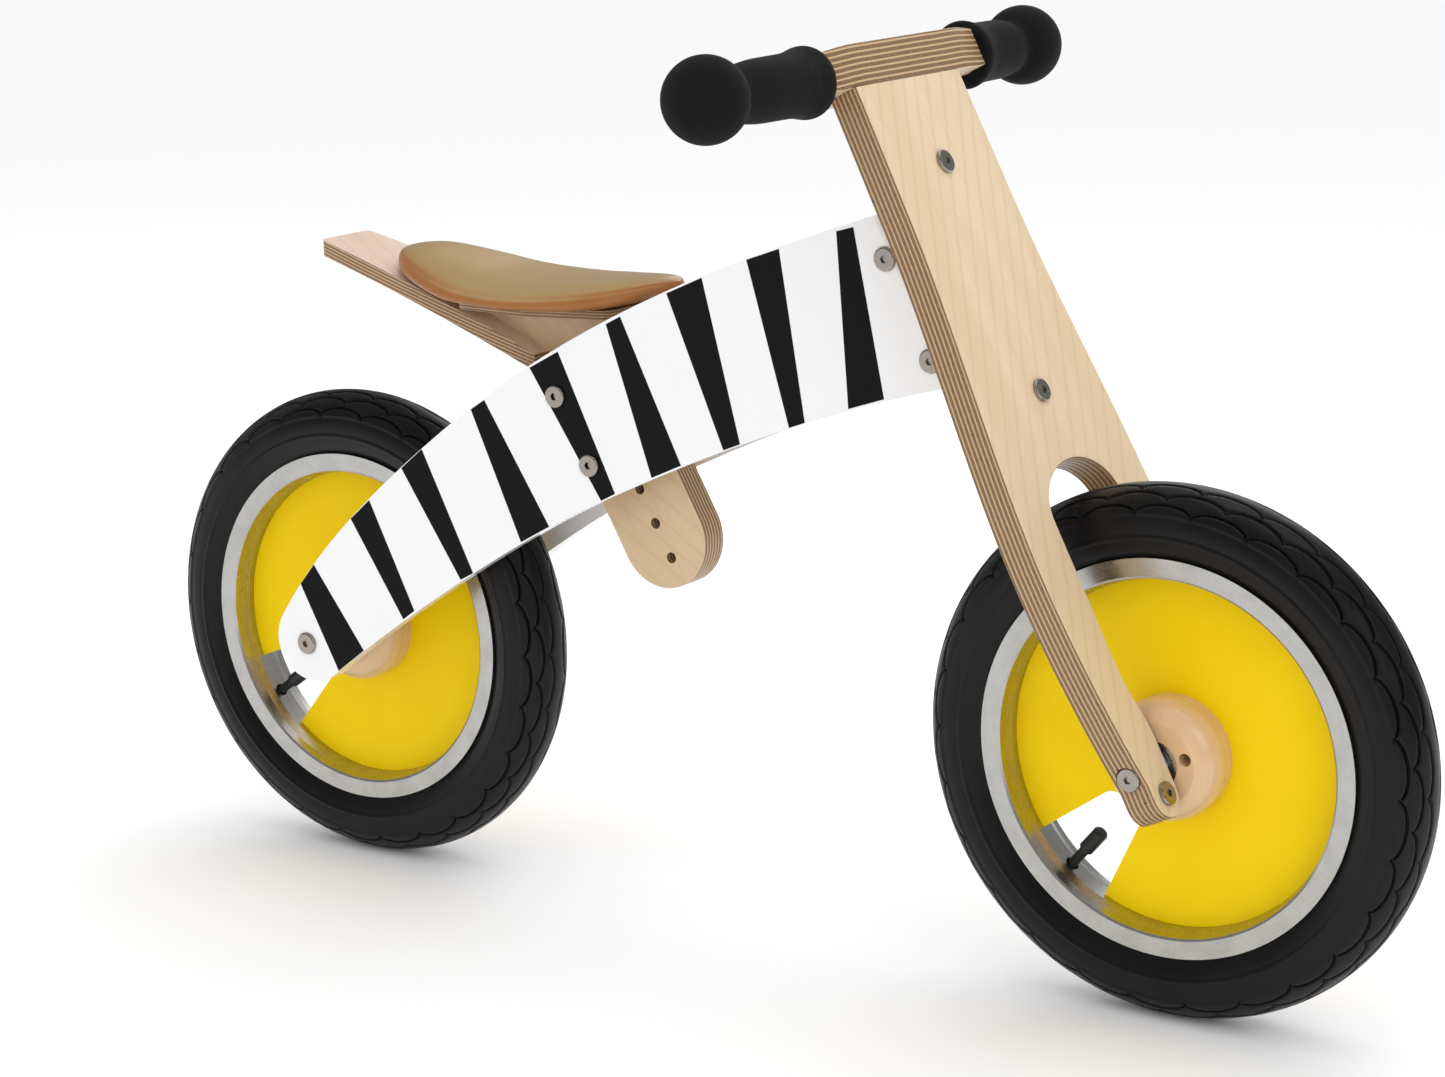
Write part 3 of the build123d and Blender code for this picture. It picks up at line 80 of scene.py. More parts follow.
# ------------------------------------------------------------------ shader helper
class Shader:
    """A procedural material, with short calls for the nodes that it is made of."""

    def __init__(self, name):
        self.mat = bpy.data.materials.new(name)
        self.mat.use_nodes = True
        self.tree = self.mat.node_tree
        self.tree.nodes.clear()
        self.out = self.tree.nodes.new("ShaderNodeOutputMaterial")
        self.bsdf = self.tree.nodes.new("ShaderNodeBsdfPrincipled")
        self.tree.links.new(self.bsdf.outputs["BSDF"], self.out.inputs["Surface"])
        coords = self.tree.nodes.new("ShaderNodeTexCoord")
        self.place = coords.outputs["Object"]
        self.normal = coords.outputs["Normal"]
        self.uv = coords.outputs["UV"]

    def link(self, value, socket):
        if isinstance(value, bpy.types.NodeSocket):
            self.tree.links.new(value, socket)
        else:
            socket.default_value = value

    def node(self, kind, **sockets):
        made = self.tree.nodes.new(kind)
        for key, value in sockets.items():
            self.link(value, made.inputs[key])
        return made

    def math(self, op, a, b=0.0, c=0.0, clamp=False):
        made = self.tree.nodes.new("ShaderNodeMath")
        made.operation = op
        made.use_clamp = clamp
        for value, socket in zip((a, b, c), made.inputs):
            self.link(value, socket)
        return made.outputs[0]

    def dot(self, vector, axis):
        made = self.tree.nodes.new("ShaderNodeVectorMath")
        made.operation = "DOT_PRODUCT"
        self.link(vector, made.inputs[0])
        made.inputs[1].default_value = tuple(axis)
        return made.outputs["Value"]

    def shift(self, vector, by):
        made = self.tree.nodes.new("ShaderNodeVectorMath")
        made.operation = "SUBTRACT"
        self.link(vector, made.inputs[0])
        made.inputs[1].default_value = tuple(by)
        return made.outputs["Vector"]

    def combine(self, x, y, z):
        made = self.tree.nodes.new("ShaderNodeCombineXYZ")
        for value, socket in zip((x, y, z), made.inputs):
            self.link(value, socket)
        return made.outputs[0]

    def split(self, vector):
        made = self.tree.nodes.new("ShaderNodeSeparateXYZ")
        self.link(vector, made.inputs[0])
        return made.outputs

    def noise(self, vector, scale, detail=2.0, rough=0.5, distortion=0.0):
        made = self.tree.nodes.new("ShaderNodeTexNoise")
        self.link(vector, made.inputs["Vector"])
        made.inputs["Scale"].default_value = scale
        made.inputs["Detail"].default_value = detail
        made.inputs["Roughness"].default_value = rough
        made.inputs["Distortion"].default_value = distortion
        return made.outputs["Fac"]

    def step(self, value, low, high):
        """0 below low, 1 above high, smooth between them."""
        made = self.tree.nodes.new("ShaderNodeMapRange")
        made.interpolation_type = "SMOOTHSTEP"
        self.link(value, made.inputs["Value"])
        made.inputs["From Min"].default_value = low
        made.inputs["From Max"].default_value = high
        return made.outputs["Result"]

    def range(self, value, low, high, to_low, to_high):
        made = self.tree.nodes.new("ShaderNodeMapRange")
        self.link(value, made.inputs["Value"])
        limits = {"From Min": low, "From Max": high, "To Min": to_low, "To Max": to_high}
        for key, number in limits.items():
            made.inputs[key].default_value = number
        return made.outputs["Result"]

    def mix(self, factor, a, b, mode="MIX"):
        made = self.tree.nodes.new("ShaderNodeMix")
        made.data_type = "RGBA"
        made.blend_type = mode
        self.link(factor, made.inputs["Factor"])
        colours = [s for s in made.inputs if s.type == "RGBA"]
        for value, socket in zip((a, b), colours):
            self.link(value if isinstance(value, bpy.types.NodeSocket) else (*value, 1.0), socket)
        return [s for s in made.outputs if s.type == "RGBA"][0]

    def set(self, **values):
        names = {"color": "Base Color", "metal": "Metallic", "rough": "Roughness",
                 "spec": "Specular IOR Level", "coat": "Coat Weight", "coat_rough": "Coat Roughness",
                 "sheen": "Sheen Weight", "sheen_rough": "Sheen Roughness"}
        for key, value in values.items():
            if isinstance(value, tuple) and len(value) == 3:
                value = (*value, 1.0)
            self.link(value, self.bsdf.inputs[names[key]])

    def bump(self, height, distance, strength=1.0):
        made = self.tree.nodes.new("ShaderNodeBump")
        made.inputs["Strength"].default_value = strength
        made.inputs["Distance"].default_value = distance
        self.link(height, made.inputs["Height"])
        if self.bsdf.inputs["Normal"].is_linked:
            self.link(self.bsdf.inputs["Normal"].links[0].from_socket, made.inputs["Normal"])
        self.link(made.outputs["Normal"], self.bsdf.inputs["Normal"])


# ------------------------------------------------------------------ materials
# Veneers as plain, streak and pale colours.
VENEER = ((0.690, 0.525, 0.335), (0.560, 0.395, 0.225), (0.745, 0.590, 0.400))
POST_VENEER = ((0.620, 0.445, 0.265), (0.520, 0.350, 0.195), (0.680, 0.510, 0.320))
TAIL_VENEER = ((0.660, 0.490, 0.380), (0.550, 0.380, 0.275), (0.720, 0.560, 0.455))
BLOCK_WOOD = ((0.560, 0.360, 0.190), (0.430, 0.250, 0.115), (0.640, 0.440, 0.250))
PLY_LIGHT = (0.560, 0.385, 0.210)
PLY_DARK = (0.130, 0.056, 0.020)


def grain(s, along, across, through, origin, tint, figure=0.5):
    """Veneer colour: long fine streaks along the grain and a faint slanting figure."""
    p = s.shift(s.place, origin)
    a = s.dot(p, along)
    c = s.dot(p, across)
    t = s.dot(p, through)
    streak = s.noise(s.combine(s.math("MULTIPLY", a, 6.0), s.math("MULTIPLY", c, 160.0), t), 4.0, 4.0, 0.6)
    broad = s.noise(s.combine(s.math("MULTIPLY", a, 3.0), s.math("MULTIPLY", c, 22.0), t), 1.5, 3.0, 0.5, 0.4)
    slant = s.combine(s.math("ADD", s.math("MULTIPLY", a, 0.55), c), s.math("MULTIPLY", a, 0.25), t)
    wave = s.node("ShaderNodeTexWave", Vector=slant)
    wave.inputs["Scale"].default_value = 24.0
    wave.inputs["Distortion"].default_value = 5.0
    wave.inputs["Detail"].default_value = 2.0
    wave.inputs["Detail Scale"].default_value = 0.6
    line = s.step(wave.outputs["Fac"], 0.80, 1.0)
    base = s.mix(s.step(broad, 0.30, 0.72), tint[0], tint[2])
    base = s.mix(s.math("MULTIPLY", s.step(streak, 0.52, 0.75), 0.40), base, tint[1])
    base = s.mix(s.math("MULTIPLY", line, 0.55 * figure), base, tint[1])
    return base, streak


def plies(s, depth, along, thickness, count, origin):
    """Cut edge of plywood: thin light lines between broader brown ones, with open gaps here and there."""
    p = s.shift(s.place, origin)
    run = s.dot(p, along)
    wobble = s.noise(s.combine(s.math("MULTIPLY", run, 8.0), depth, 0.0), 5.0, 2.0)
    level = s.math("ADD", s.math("MULTIPLY", depth, count / thickness), s.math("MULTIPLY", wobble, 0.16))
    saw = s.math("FRACT", level)
    ridge = s.math("ABSOLUTE", s.math("SUBTRACT", saw, 0.5))
    bright = s.step(ridge, 0.26, 0.40)
    fibre_place = s.combine(s.math("MULTIPLY", run, 60.0), s.math("MULTIPLY", level, 2.2), 0.0)
    fibre = s.noise(fibre_place, 6.0, 4.0, 0.7)
    pores = s.noise(s.combine(s.math("MULTIPLY", run, 14.0), s.math("FLOOR", level), 3.0), 9.0, 3.0, 0.7)
    medium = tuple(0.55 * a + 0.45 * b for a, b in zip(PLY_DARK, PLY_LIGHT))
    brown = s.mix(s.step(fibre, 0.30, 0.72), PLY_DARK, medium)
    colour = s.mix(bright, brown, PLY_LIGHT)
    gaps = s.math("MULTIPLY", s.step(pores, 0.62, 0.67), s.math("SUBTRACT", 1.0, bright))
    return s.mix(s.math("MULTIPLY", gaps, 0.85), colour, (0.035, 0.016, 0.008)), fibre


def plywood(name, normal, along, origin, thickness, count, tint=VENEER):
    """Lacquered plywood board: veneer where it faces along normal, striped edges elsewhere."""
    s = Shader(name)
    normal = Vector(normal).normalized()
    along = Vector(along).normalized()
    across = normal.cross(along)
    face, streak = grain(s, along, across, normal, origin, tint)
    depth = s.math("ADD", s.dot(s.shift(s.place, origin), normal), thickness / 2)
    edge, fibre = plies(s, depth, along + across * 0.35, thickness, count, origin)
    facing = s.math("ABSOLUTE", s.dot(s.normal, normal))
    side = s.step(facing, 0.90, 0.62)
    s.set(color=s.mix(side, face, edge), rough=s.range(streak, 0.0, 1.0, 0.34, 0.48), spec=0.35,
          coat=0.15, coat_rough=0.22)
    s.bump(s.mix(side, streak_grey(s, streak), streak_grey(s, fibre)), 0.00012, 0.5)
    return s.mat


def streak_grey(s, value):
    return s.combine(value, value, value)


def hardwood(name, along, tint):
    """Plain lacquered solid wood."""
    s = Shader(name)
    along = Vector(along).normalized()
    across = Vector((0, 1, 0)) if abs(along.y) < 0.9 else Vector((0, 0, 1))
    colour, streak = grain(s, along, across, along.cross(across), (0, 0, 0), tint, 1.0)
    s.set(color=colour, rough=s.range(streak, 0.0, 1.0, 0.30, 0.45), spec=0.45, coat=0.2, coat_rough=0.25)
    s.bump(streak, 0.0001, 0.5)
    return s.mat


def turned_beech(name, axle):
    """Glossy beech, turned across its rings, with short dark flecks."""
    s = Shader(name)
    x, y, z = s.split(s.shift(s.place, axle))
    flow = s.combine(s.math("MULTIPLY", x, 1.0), s.math("MULTIPLY", y, 0.5), s.math("MULTIPLY", z, 0.28))
    rings = s.noise(flow, 60.0, 3.0, 0.5, 0.6)
    fleck = s.noise(s.combine(s.math("MULTIPLY", x, 9.0), s.math("MULTIPLY", y, 9.0), z), 90.0, 2.0, 0.6)
    base = s.mix(s.step(rings, 0.30, 0.70), (0.770, 0.520, 0.290), (0.710, 0.465, 0.245))
    base = s.mix(s.math("MULTIPLY", s.step(fleck, 0.62, 0.74), 0.16), base, (0.460, 0.260, 0.120))
    s.set(color=base, rough=0.26, spec=0.5, coat=0.75, coat_rough=0.07)
    s.bump(fleck, 0.00004, 0.4)
    return s.mat


def laminate(name):
    """White high-gloss laminate with a trace of orange peel and dust."""
    s = Shader(name)
    peel = s.noise(s.place, 260.0, 2.0, 0.5)
    cloud = s.noise(s.place, 9.0, 3.0, 0.5)
    s.set(color=s.mix(cloud, (0.86, 0.865, 0.875), (0.90, 0.90, 0.90)),
          rough=s.range(cloud, 0.3, 0.7, 0.15, 0.24), spec=0.5, coat=0.5, coat_rough=0.06)
    s.bump(peel, 0.00003, 0.35)
    return s.mat


def black_print(name):
    """Black printed film on the laminate."""
    s = Shader(name)
    peel = s.noise(s.place, 260.0, 2.0, 0.5)
    s.set(color=s.mix(peel, (0.0035, 0.0035, 0.0038), (0.006, 0.006, 0.0065)),
          rough=s.range(peel, 0.3, 0.7, 0.24, 0.34), spec=0.10)
    s.bump(peel, 0.00003, 0.35)
    return s.mat


def yellow_board(name):
    """Satin yellow: very fine paint texture and slight unevenness."""
    s = Shader(name)
    fine = s.noise(s.place, 900.0, 2.0, 0.6)
    cloud = s.noise(s.place, 14.0, 3.0, 0.5)
    s.set(color=s.mix(s.step(cloud, 0.3, 0.7), (0.915, 0.625, 0.000), (0.945, 0.660, 0.001)),
          rough=s.range(fine, 0.2, 0.8, 0.42, 0.56), spec=0.12)
    s.bump(fine, 0.00006, 0.5)
    return s.mat


def brushed(name, axle, colour, rough=0.25):
    """Rolled metal brushed round its axis, with faint cloudy stains."""
    s = Shader(name)
    x, y, z = s.split(s.shift(s.place, axle))
    radius = s.math("SQRT", s.math("ADD", s.math("MULTIPLY", x, x), s.math("MULTIPLY", z, z)))
    turn = s.math("ARCTAN2", z, x)
    lines = s.noise(s.combine(s.math("MULTIPLY", radius, 900.0), s.math("MULTIPLY", y, 900.0),
                              s.math("MULTIPLY", turn, 2.0)), 3.0, 3.0, 0.6)
    cloud = s.noise(s.place, 60.0, 4.0, 0.6)
    dark = tuple(c * 0.92 for c in colour)
    fine_rough = s.range(lines, 0.2, 0.8, rough - 0.06, rough + 0.08)
    s.set(color=s.mix(s.step(cloud, 0.35, 0.68), colour, dark), metal=1.0,
          rough=s.math("ADD", fine_rough, s.range(cloud, 0.3, 0.7, -0.04, 0.06)))
    s.bump(lines, 0.00004, 0.5)
    return s.mat


def plated(name, colour=(0.40, 0.36, 0.32), rough=0.24):
    """Nickel-plated steel with small tumbling marks."""
    s = Shader(name)
    marks = s.noise(s.place, 700.0, 3.0, 0.6)
    cloud = s.noise(s.place, 90.0, 2.0, 0.5)
    s.set(color=s.mix(cloud, colour, tuple(c * 0.86 for c in colour)), metal=1.0,
          rough=s.range(marks, 0.2, 0.8, rough - 0.08, rough + 0.10))
    s.bump(marks, 0.00003, 0.4)
    return s.mat


def foam(name):
    """Black closed-cell foam: soft matt skin with fine pores and scuffs."""
    s = Shader(name)
    pores = s.node("ShaderNodeTexVoronoi", Vector=s.place)
    pores.inputs["Scale"].default_value = 900.0
    cell = pores.outputs["Distance"]
    fine = s.noise(s.place, 1600.0, 3.0, 0.7)
    scuff = s.noise(s.place, 45.0, 4.0, 0.65)
    s.set(color=s.mix(s.step(scuff, 0.52, 0.80), (0.0065, 0.0065, 0.007), (0.013, 0.013, 0.0135)),
          rough=s.range(scuff, 0.3, 0.7, 0.90, 0.78), spec=0.14, sheen=0.03, sheen_rough=0.5)
    s.bump(cell, 0.00025, 0.55)
    s.bump(fine, 0.00012, 0.5)
    return s.mat


def vinyl(name):
    """Tan moulded vinyl: leather-like pebble, satin; faces turned upwards get a paler, greyer tan as a
    painted sheen.
    """
    s = Shader(name)
    pebble = s.node("ShaderNodeTexVoronoi", Vector=s.place)
    pebble.inputs["Scale"].default_value = 1100.0
    pebble.feature = "SMOOTH_F1"
    cloud = s.noise(s.place, 22.0, 3.0, 0.5)
    up = s.split(s.normal)[2]
    # Faces turned upwards are mixed to a paler, greyer tan: a painted sheen from overhead light, not the
    # vinyl's own colour.
    top = s.step(up, 0.62, 0.96)
    side = s.mix(s.step(cloud, 0.3, 0.7), (0.330, 0.122, 0.026), (0.370, 0.142, 0.034))
    crown_painted_sheen = s.mix(s.step(cloud, 0.3, 0.7), (0.345, 0.220, 0.078), (0.375, 0.242, 0.090))
    s.set(color=s.mix(top, side, crown_painted_sheen), rough=s.range(cloud, 0.3, 0.7, 0.30, 0.38), spec=0.42)
    s.bump(pebble.outputs["Distance"], 0.00010, 0.35)
    s.bump(s.noise(s.place, 140.0, 3.0, 0.5), 0.00012, 0.3)
    return s.mat


def rubber(name):
    """Plain black rubber with a fine texture."""
    s = Shader(name)
    fine = s.noise(s.place, 500.0, 3.0, 0.6)
    s.set(color=(0.012, 0.012, 0.012), rough=s.range(fine, 0.2, 0.8, 0.42, 0.58), spec=0.4)
    s.bump(fine, 0.00005, 0.5)
    return s.mat


def tyre_rubber(name):
    """Black rubber with a tread of overlapping arcs. UV: u counts tread cells, v the signed level."""
    s = Shader(name)
    u, v, _ = s.split(s.uv)
    level = s.math("ABSOLUTE", v)
    flip = s.math("MULTIPLY", s.math("GREATER_THAN", v, 0.0), 0.5)
    cell = s.math("ADD", u, flip)

    def below_arc(offset, foot, rise):
        """Level less that of the chain of arcs, whose cusps point at the rim."""
        t = s.math("SUBTRACT", s.math("MULTIPLY", s.math("FRACT", s.math("ADD", cell, offset)), 2.0), 1.0)
        bow = s.math("SQRT", s.math("SUBTRACT", TREAD_BOW, s.math("MULTIPLY", t, t)))
        return s.math("SUBTRACT", level, s.math("SUBTRACT", foot, s.math("MULTIPLY", bow, rise)))

    def groove(chain):
        return s.step(s.math("ABSOLUTE", below_arc(*chain)), 0.026, 0.026 * 0.35)

    def ledge(chain):
        return s.step(below_arc(*chain), -0.012, 0.012)

    outer, middle, inner = TREAD_CHAINS
    grooves = groove(outer)
    grooves = s.math("MAXIMUM", grooves, groove(middle))
    grooves = s.math("MAXIMUM", grooves, groove(inner))
    stepped = s.math("ADD", ledge(outer), s.math("MULTIPLY", ledge(middle), 0.6))
    dash_t = s.math("ABSOLUTE", s.math("SUBTRACT", s.math("FRACT", s.math("ADD", cell, 0.32)), 0.5))
    dash_level = s.math("ADD", 0.43, s.math("MULTIPLY", dash_t, 0.2))
    dash_gap = s.math("ABSOLUTE", s.math("SUBTRACT", level, dash_level))
    dash = s.math("MULTIPLY", s.step(dash_t, 0.16, 0.12), s.step(dash_gap, 0.014, 0.006))
    grooves = s.math("MAXIMUM", grooves, dash)
    fine = s.noise(s.place, 420.0, 3.0, 0.6)
    dust = s.noise(s.place, 26.0, 4.0, 0.6)
    base = s.mix(s.step(dust, 0.35, 0.75), (0.0030, 0.0030, 0.0032), (0.0050, 0.0050, 0.0054))
    # Grooves are mixed towards near-black: painted shade in the tread's recesses.
    base = s.mix(s.math("MULTIPLY", grooves, 0.7), base, (0.001, 0.001, 0.001))
    s.set(color=base, rough=s.range(dust, 0.3, 0.7, 0.34, 0.44), spec=0.24)
    s.bump(fine, 0.00005, 0.4)
    s.bump(stepped, 0.0008, 0.8)
    s.bump(s.math("SUBTRACT", 1.0, grooves), 0.0008, 0.8)
    return s.mat


def plastic(name, colour, rough):
    """Moulded plastic with a fine, slightly uneven surface."""
    s = Shader(name)
    fine = s.noise(s.place, 800.0, 2.0, 0.6)
    s.set(color=s.mix(fine, colour, tuple(c * 0.9 for c in colour)),
          rough=s.range(fine, 0.2, 0.8, rough - 0.05, rough + 0.08), spec=0.45)
    s.bump(fine, 0.00003, 0.4)
    return s.mat


# ------------------------------------------------------------------ mesh helpers
def add(name, verts, faces, smooth=True, uvs=None):
    """New mesh object from points and faces; uvs is one (u, v) per face corner, face by face."""
    mesh = bpy.data.meshes.new(name)
    mesh.from_pydata([tuple(v) for v in verts], [], faces)
    mesh.update()
    if uvs is not None:
        layer = mesh.uv_layers.new(name="UVMap")
        for loop, uv in zip(layer.data, uvs):
            loop.uv = uv
    for polygon in mesh.polygons:
        polygon.use_smooth = smooth
    made = bpy.data.objects.new(name, mesh)
    bpy.context.scene.collection.objects.link(made)
    return made


def finish_piece(piece, body, material, replaces=None):
    """Give a piece its material and body, and hide the CAD node that it stands for."""
    piece.data.materials.append(material)
    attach(piece, body)
    if replaces:
        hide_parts(replaces)
    return piece


def paint(material, *names):
    """Give CAD nodes one material."""
    for name in names:
        NODES[name].data.materials.clear()
        NODES[name].data.materials.append(material)


def soften(width, *names):
    """Small rounded edges on CAD nodes."""
    for name in names:
        bevel = NODES[name].modifiers.new("edge", "BEVEL")
        bevel.width = width
        bevel.segments = 2
        bevel.limit_method = "ANGLE"
        bevel.angle_limit = math.radians(35.0)
        bevel.harden_normals = True


# ------------------------------------------------------------------ stripes
# Corners of each stripe on a panel's outer face, from the rear axle: forward and up in millimetres,
# top rear, top front, bottom front, bottom rear.
STRIPES = [
    ((-2.5, 36.7), (7.9, 49.6), (41.3, 0.1), (22.3, -14.7)),
    ((36.6, 80.5), (50.5, 93.1), (79.1, 28.7), (71.0, 22.7)),
    ((74.5, 114.4), (89.4, 127.0), (121.6, 55.9), (112.7, 51.1)),
    ((124.6, 153.2), (134.0, 159.4), (174.8, 88.8), (155.4, 77.8)),
    ((165.5, 180.4), (184.6, 190.9), (219.3, 112.0), (210.0, 107.1)),
    ((216.7, 208.6), (226.0, 213.5), (262.5, 131.9), (243.4, 123.3)),
    ((256.1, 228.3), (278.5, 238.2), (300.1, 147.1), (289.6, 142.9)),
    ((306.5, 249.6), (326.5, 256.6), (340.4, 162.3), (330.7, 158.7)),
    ((361.2, 267.8), (371.3, 270.6), (388.3, 178.9), (366.9, 172.0)),
]
PANEL_SLOPE = math.tan(math.radians(5.0))
PANEL_REAR_Y = 0.060                                     # outer face of a panel at the rear axle
PRINT_LIFT = 0.00012


def stripes(side):
    """Printed stripes, a film just proud of one panel's outer face. side is -1 right, +1 left."""
    verts = []
    faces = []
    for corners in STRIPES:
        base = len(verts)
        for lift in (PRINT_LIFT, 0.0):
            for x, z in corners:
                y = PANEL_REAR_Y - PANEL_SLOPE * x / 1000 + lift
                verts.append((REAR_AXLE.x + x / 1000, side * y, REAR_AXLE.z + z / 1000))
        top = [base, base + 1, base + 2, base + 3]
        faces.append(top if side < 0 else top[::-1])
        for i in range(4):
            j = (i + 1) % 4
            quad = [base + i, base + 4 + i, base + 4 + j, base + j]
            faces.append(quad if side < 0 else quad[::-1])
    return add("stripes_" + ("right" if side < 0 else "left"), verts, faces, smooth=False)


# ------------------------------------------------------------------ tyres
# Steps of the sidewall: degrees from the crown and how far the surface is raised there, metres. The first and
# the last raise hold beyond the table.
SIDEWALL = [(66, 0.0), (69, -0.0007), (96, -0.0007), (98, 0.0001), (101, 0.0001), (103, -0.0006)]


def sidewall_raise(degrees):
    for (low, start), (high, end) in zip(SIDEWALL, SIDEWALL[1:]):
        if low <= degrees < high:
            return start + (end - start) * (degrees - low) / (high - low)
    return SIDEWALL[0][1] if degrees < SIDEWALL[0][0] else SIDEWALL[-1][1]


def tyre_profile():
    """Outer section of the tyre from the right bead over the crown to the left one: (radius, y, level)."""
    points = []
    last = 125.0
    steps = 64
    for i in range(-steps, steps + 1):
        angle = last * i / steps
        a = math.radians(angle)
        r = TYRE_HALF_WIDTH + sidewall_raise(abs(angle))
        points.append((TYRE_RING_RADIUS + r * math.cos(a), r * math.sin(a), angle / 90))
    points = [p for p in points if p[0] > RIM_FLANGE_RADIUS]
    first, last_point = points[0], points[-1]
    low = [(0.1086, -0.0153, first[2] - 0.05), (0.1040, -0.0151, first[2] - 0.10)]
    high = [(0.1086, 0.0153, last_point[2] + 0.05), (0.1040, 0.0151, last_point[2] + 0.10)]
    return low[::-1] + points + high


def tread_depth(cell, v):
    """How far the tread pattern sinks the surface, in metres: chains of arcs whose cusps point at the rim."""
    level = abs(v)
    cell += 0.5 if v > 0 else 0.0
    depth = 0.0
    if level >= TREAD_EDGE:
        return depth
    for offset, foot, rise in TREAD_CHAINS:
        t = 2.0 * ((cell + offset) % 1.0) - 1.0
        line = foot - rise * math.sqrt(TREAD_BOW - t * t)
        gap = abs(level - line) / GROOVE_HALF_WIDTH
        if gap < 1.0:
            depth = max(depth, GROOVE_DEPTH * (1.0 - gap * gap))
    return depth


def tyre(name, axle):
    """Outer skin of one tyre with its grooves, from bead to bead."""
    profile = tyre_profile()
    around = TREAD_CELLS * TREAD_STEPS
    verts = []
    faces = []
    uvs = []
    for i in range(around):
        a = 2 * math.pi * i / around
        for r, y, v in profile:
            sunk = tread_depth(TREAD_CELLS * i / around, v)
            r -= sunk * math.cos(math.radians(90 * v))
            y -= sunk * math.sin(math.radians(90 * v))
            verts.append((axle.x + r * math.cos(a), y, axle.z + r * math.sin(a)))
    count = len(profile)
    for i in range(around):
        j = (i + 1) % around
        u0 = TREAD_CELLS * i / around
        u1 = TREAD_CELLS * (i + 1) / around
        for k in range(count - 1):
            faces.append((i * count + k, i * count + k + 1, j * count + k + 1, j * count + k))
            v0 = profile[k][2]
            v1 = profile[k + 1][2]
            uvs += [(u0, v0), (u0, v1), (u1, v1), (u1, v0)]
    return add(name, verts, faces, uvs=uvs)


# ------------------------------------------------------------------ grips
def lathe(name, profile, origin, axis, around=96):
    """Surface of revolution about axis through origin: profile is (distance along, radius)."""
    axis = Vector(axis).normalized()
    side = axis.orthogonal().normalized()
    other = axis.cross(side)
    verts = []
    faces = []
    for i in range(around):
        a = 2 * math.pi * i / around
        out = side * math.cos(a) + other * math.sin(a)
        for along, radius in profile:
            verts.append(Vector(origin) + axis * along + out * radius)
    count = len(profile)
    for i in range(around):
        j = (i + 1) % around
        for k in range(count - 1):
            faces.append((i * count + k, i * count + k + 1, j * count + k + 1, j * count + k))
    made = add(name, verts, faces)
    work = bmesh.new()
    work.from_mesh(made.data)
    bmesh.ops.remove_doubles(work, verts=work.verts, dist=1e-6)
    bmesh.ops.recalc_face_normals(work, faces=work.faces)
    work.to_mesh(made.data)
    work.free()
    return made


def smooth_curve(points, steps):
    """Catmull-Rom through the points."""
    out = []
    for i in range(len(points) - 1):
        p0 = points[max(i - 1, 0)]
        p1, p2 = points[i], points[i + 1]
        p3 = points[min(i + 2, len(points) - 1)]
        for k in range(steps):
            t = k / steps
            point = []
            for a, b, c, d in zip(p0, p1, p2, p3):
                square = (2 * a - 5 * b + 4 * c - d) * t * t
                cube = (3 * b - a - 3 * c + d) * t ** 3
                point.append(0.5 * (2 * b + (c - a) * t + square + cube))
            out.append(tuple(point))
    out.append(points[-1])
    return out


BALL_CENTRE = 0.160                                      # of a grip's ball end, from the middle plane
BALL_NECK = 140.0                                        # where the ball meets the grip, degrees from its end
MOUTH_LENGTH = 0.066                                     # of the grip, for a mouth at its full length

# Grip from its mouth to its ball: distance from the mouth and radius, metres.
MOUTH = [(0.0, 0.0114), (0.0, 0.0160), (0.0006, 0.0176), (0.0022, 0.0187), (0.0050, 0.0190),
         (0.0090, 0.0184), (0.0140, 0.0175), (0.0220, 0.0168), (0.0380, 0.0166), (0.0520, 0.0163)]


def grip(name, node, side):
    """Turned foam grip with a flared mouth and a ball end."""
    low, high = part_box(node)
    middle = (Vector(low) + Vector(high)) / 2
    start = min(abs(low[1]), abs(high[1]))
    end = max(abs(low[1]), abs(high[1]))
    ball = end - BALL_CENTRE
    reach = (BALL_CENTRE - 0.766 * ball - start) / MOUTH_LENGTH
    mouth = [(start + along * min(reach, 1.0), radius) for along, radius in MOUTH]
    bulb = [(BALL_CENTRE + ball * math.cos(math.radians(a)), ball * math.sin(math.radians(a)))
            for a in (BALL_NECK, 120, 100, 80, 60, 40, 20, 8, 0)]
    bulb[-1] = (end, 0.0)
    profile = smooth_curve(mouth + bulb, 5)
    profile = [(a, max(r, 0.0)) for a, r in profile]
    return lathe(name, profile, (middle.x, 0.0, middle.z), (0.0, side, 0.0))


# ------------------------------------------------------------------ saddle
def interpolate(table, x):
    """Smooth value between (x, value) rows."""
    if x <= table[0][0]:
        return table[0][1]
    if x >= table[-1][0]:
        return table[-1][1]
    for i in range(len(table) - 1):
        if x <= table[i + 1][0]:
            break
    x1, y1 = table[i]
    x2, y2 = table[i + 1]
    m1 = (y2 - table[i - 1][1]) / (x2 - table[i - 1][0]) if i > 0 else (y2 - y1) / (x2 - x1)
    m2 = (table[i + 2][1] - y1) / (table[i + 2][0] - x1) if i + 2 < len(table) else (y2 - y1) / (x2 - x1)
    h = x2 - x1
    t = (x - x1) / h
    return ((2 * t ** 3 - 3 * t ** 2 + 1) * y1 + (t ** 3 - 2 * t ** 2 + t) * h * m1
            + (-2 * t ** 3 + 3 * t ** 2) * y2 + (t ** 3 - t ** 2) * h * m2)


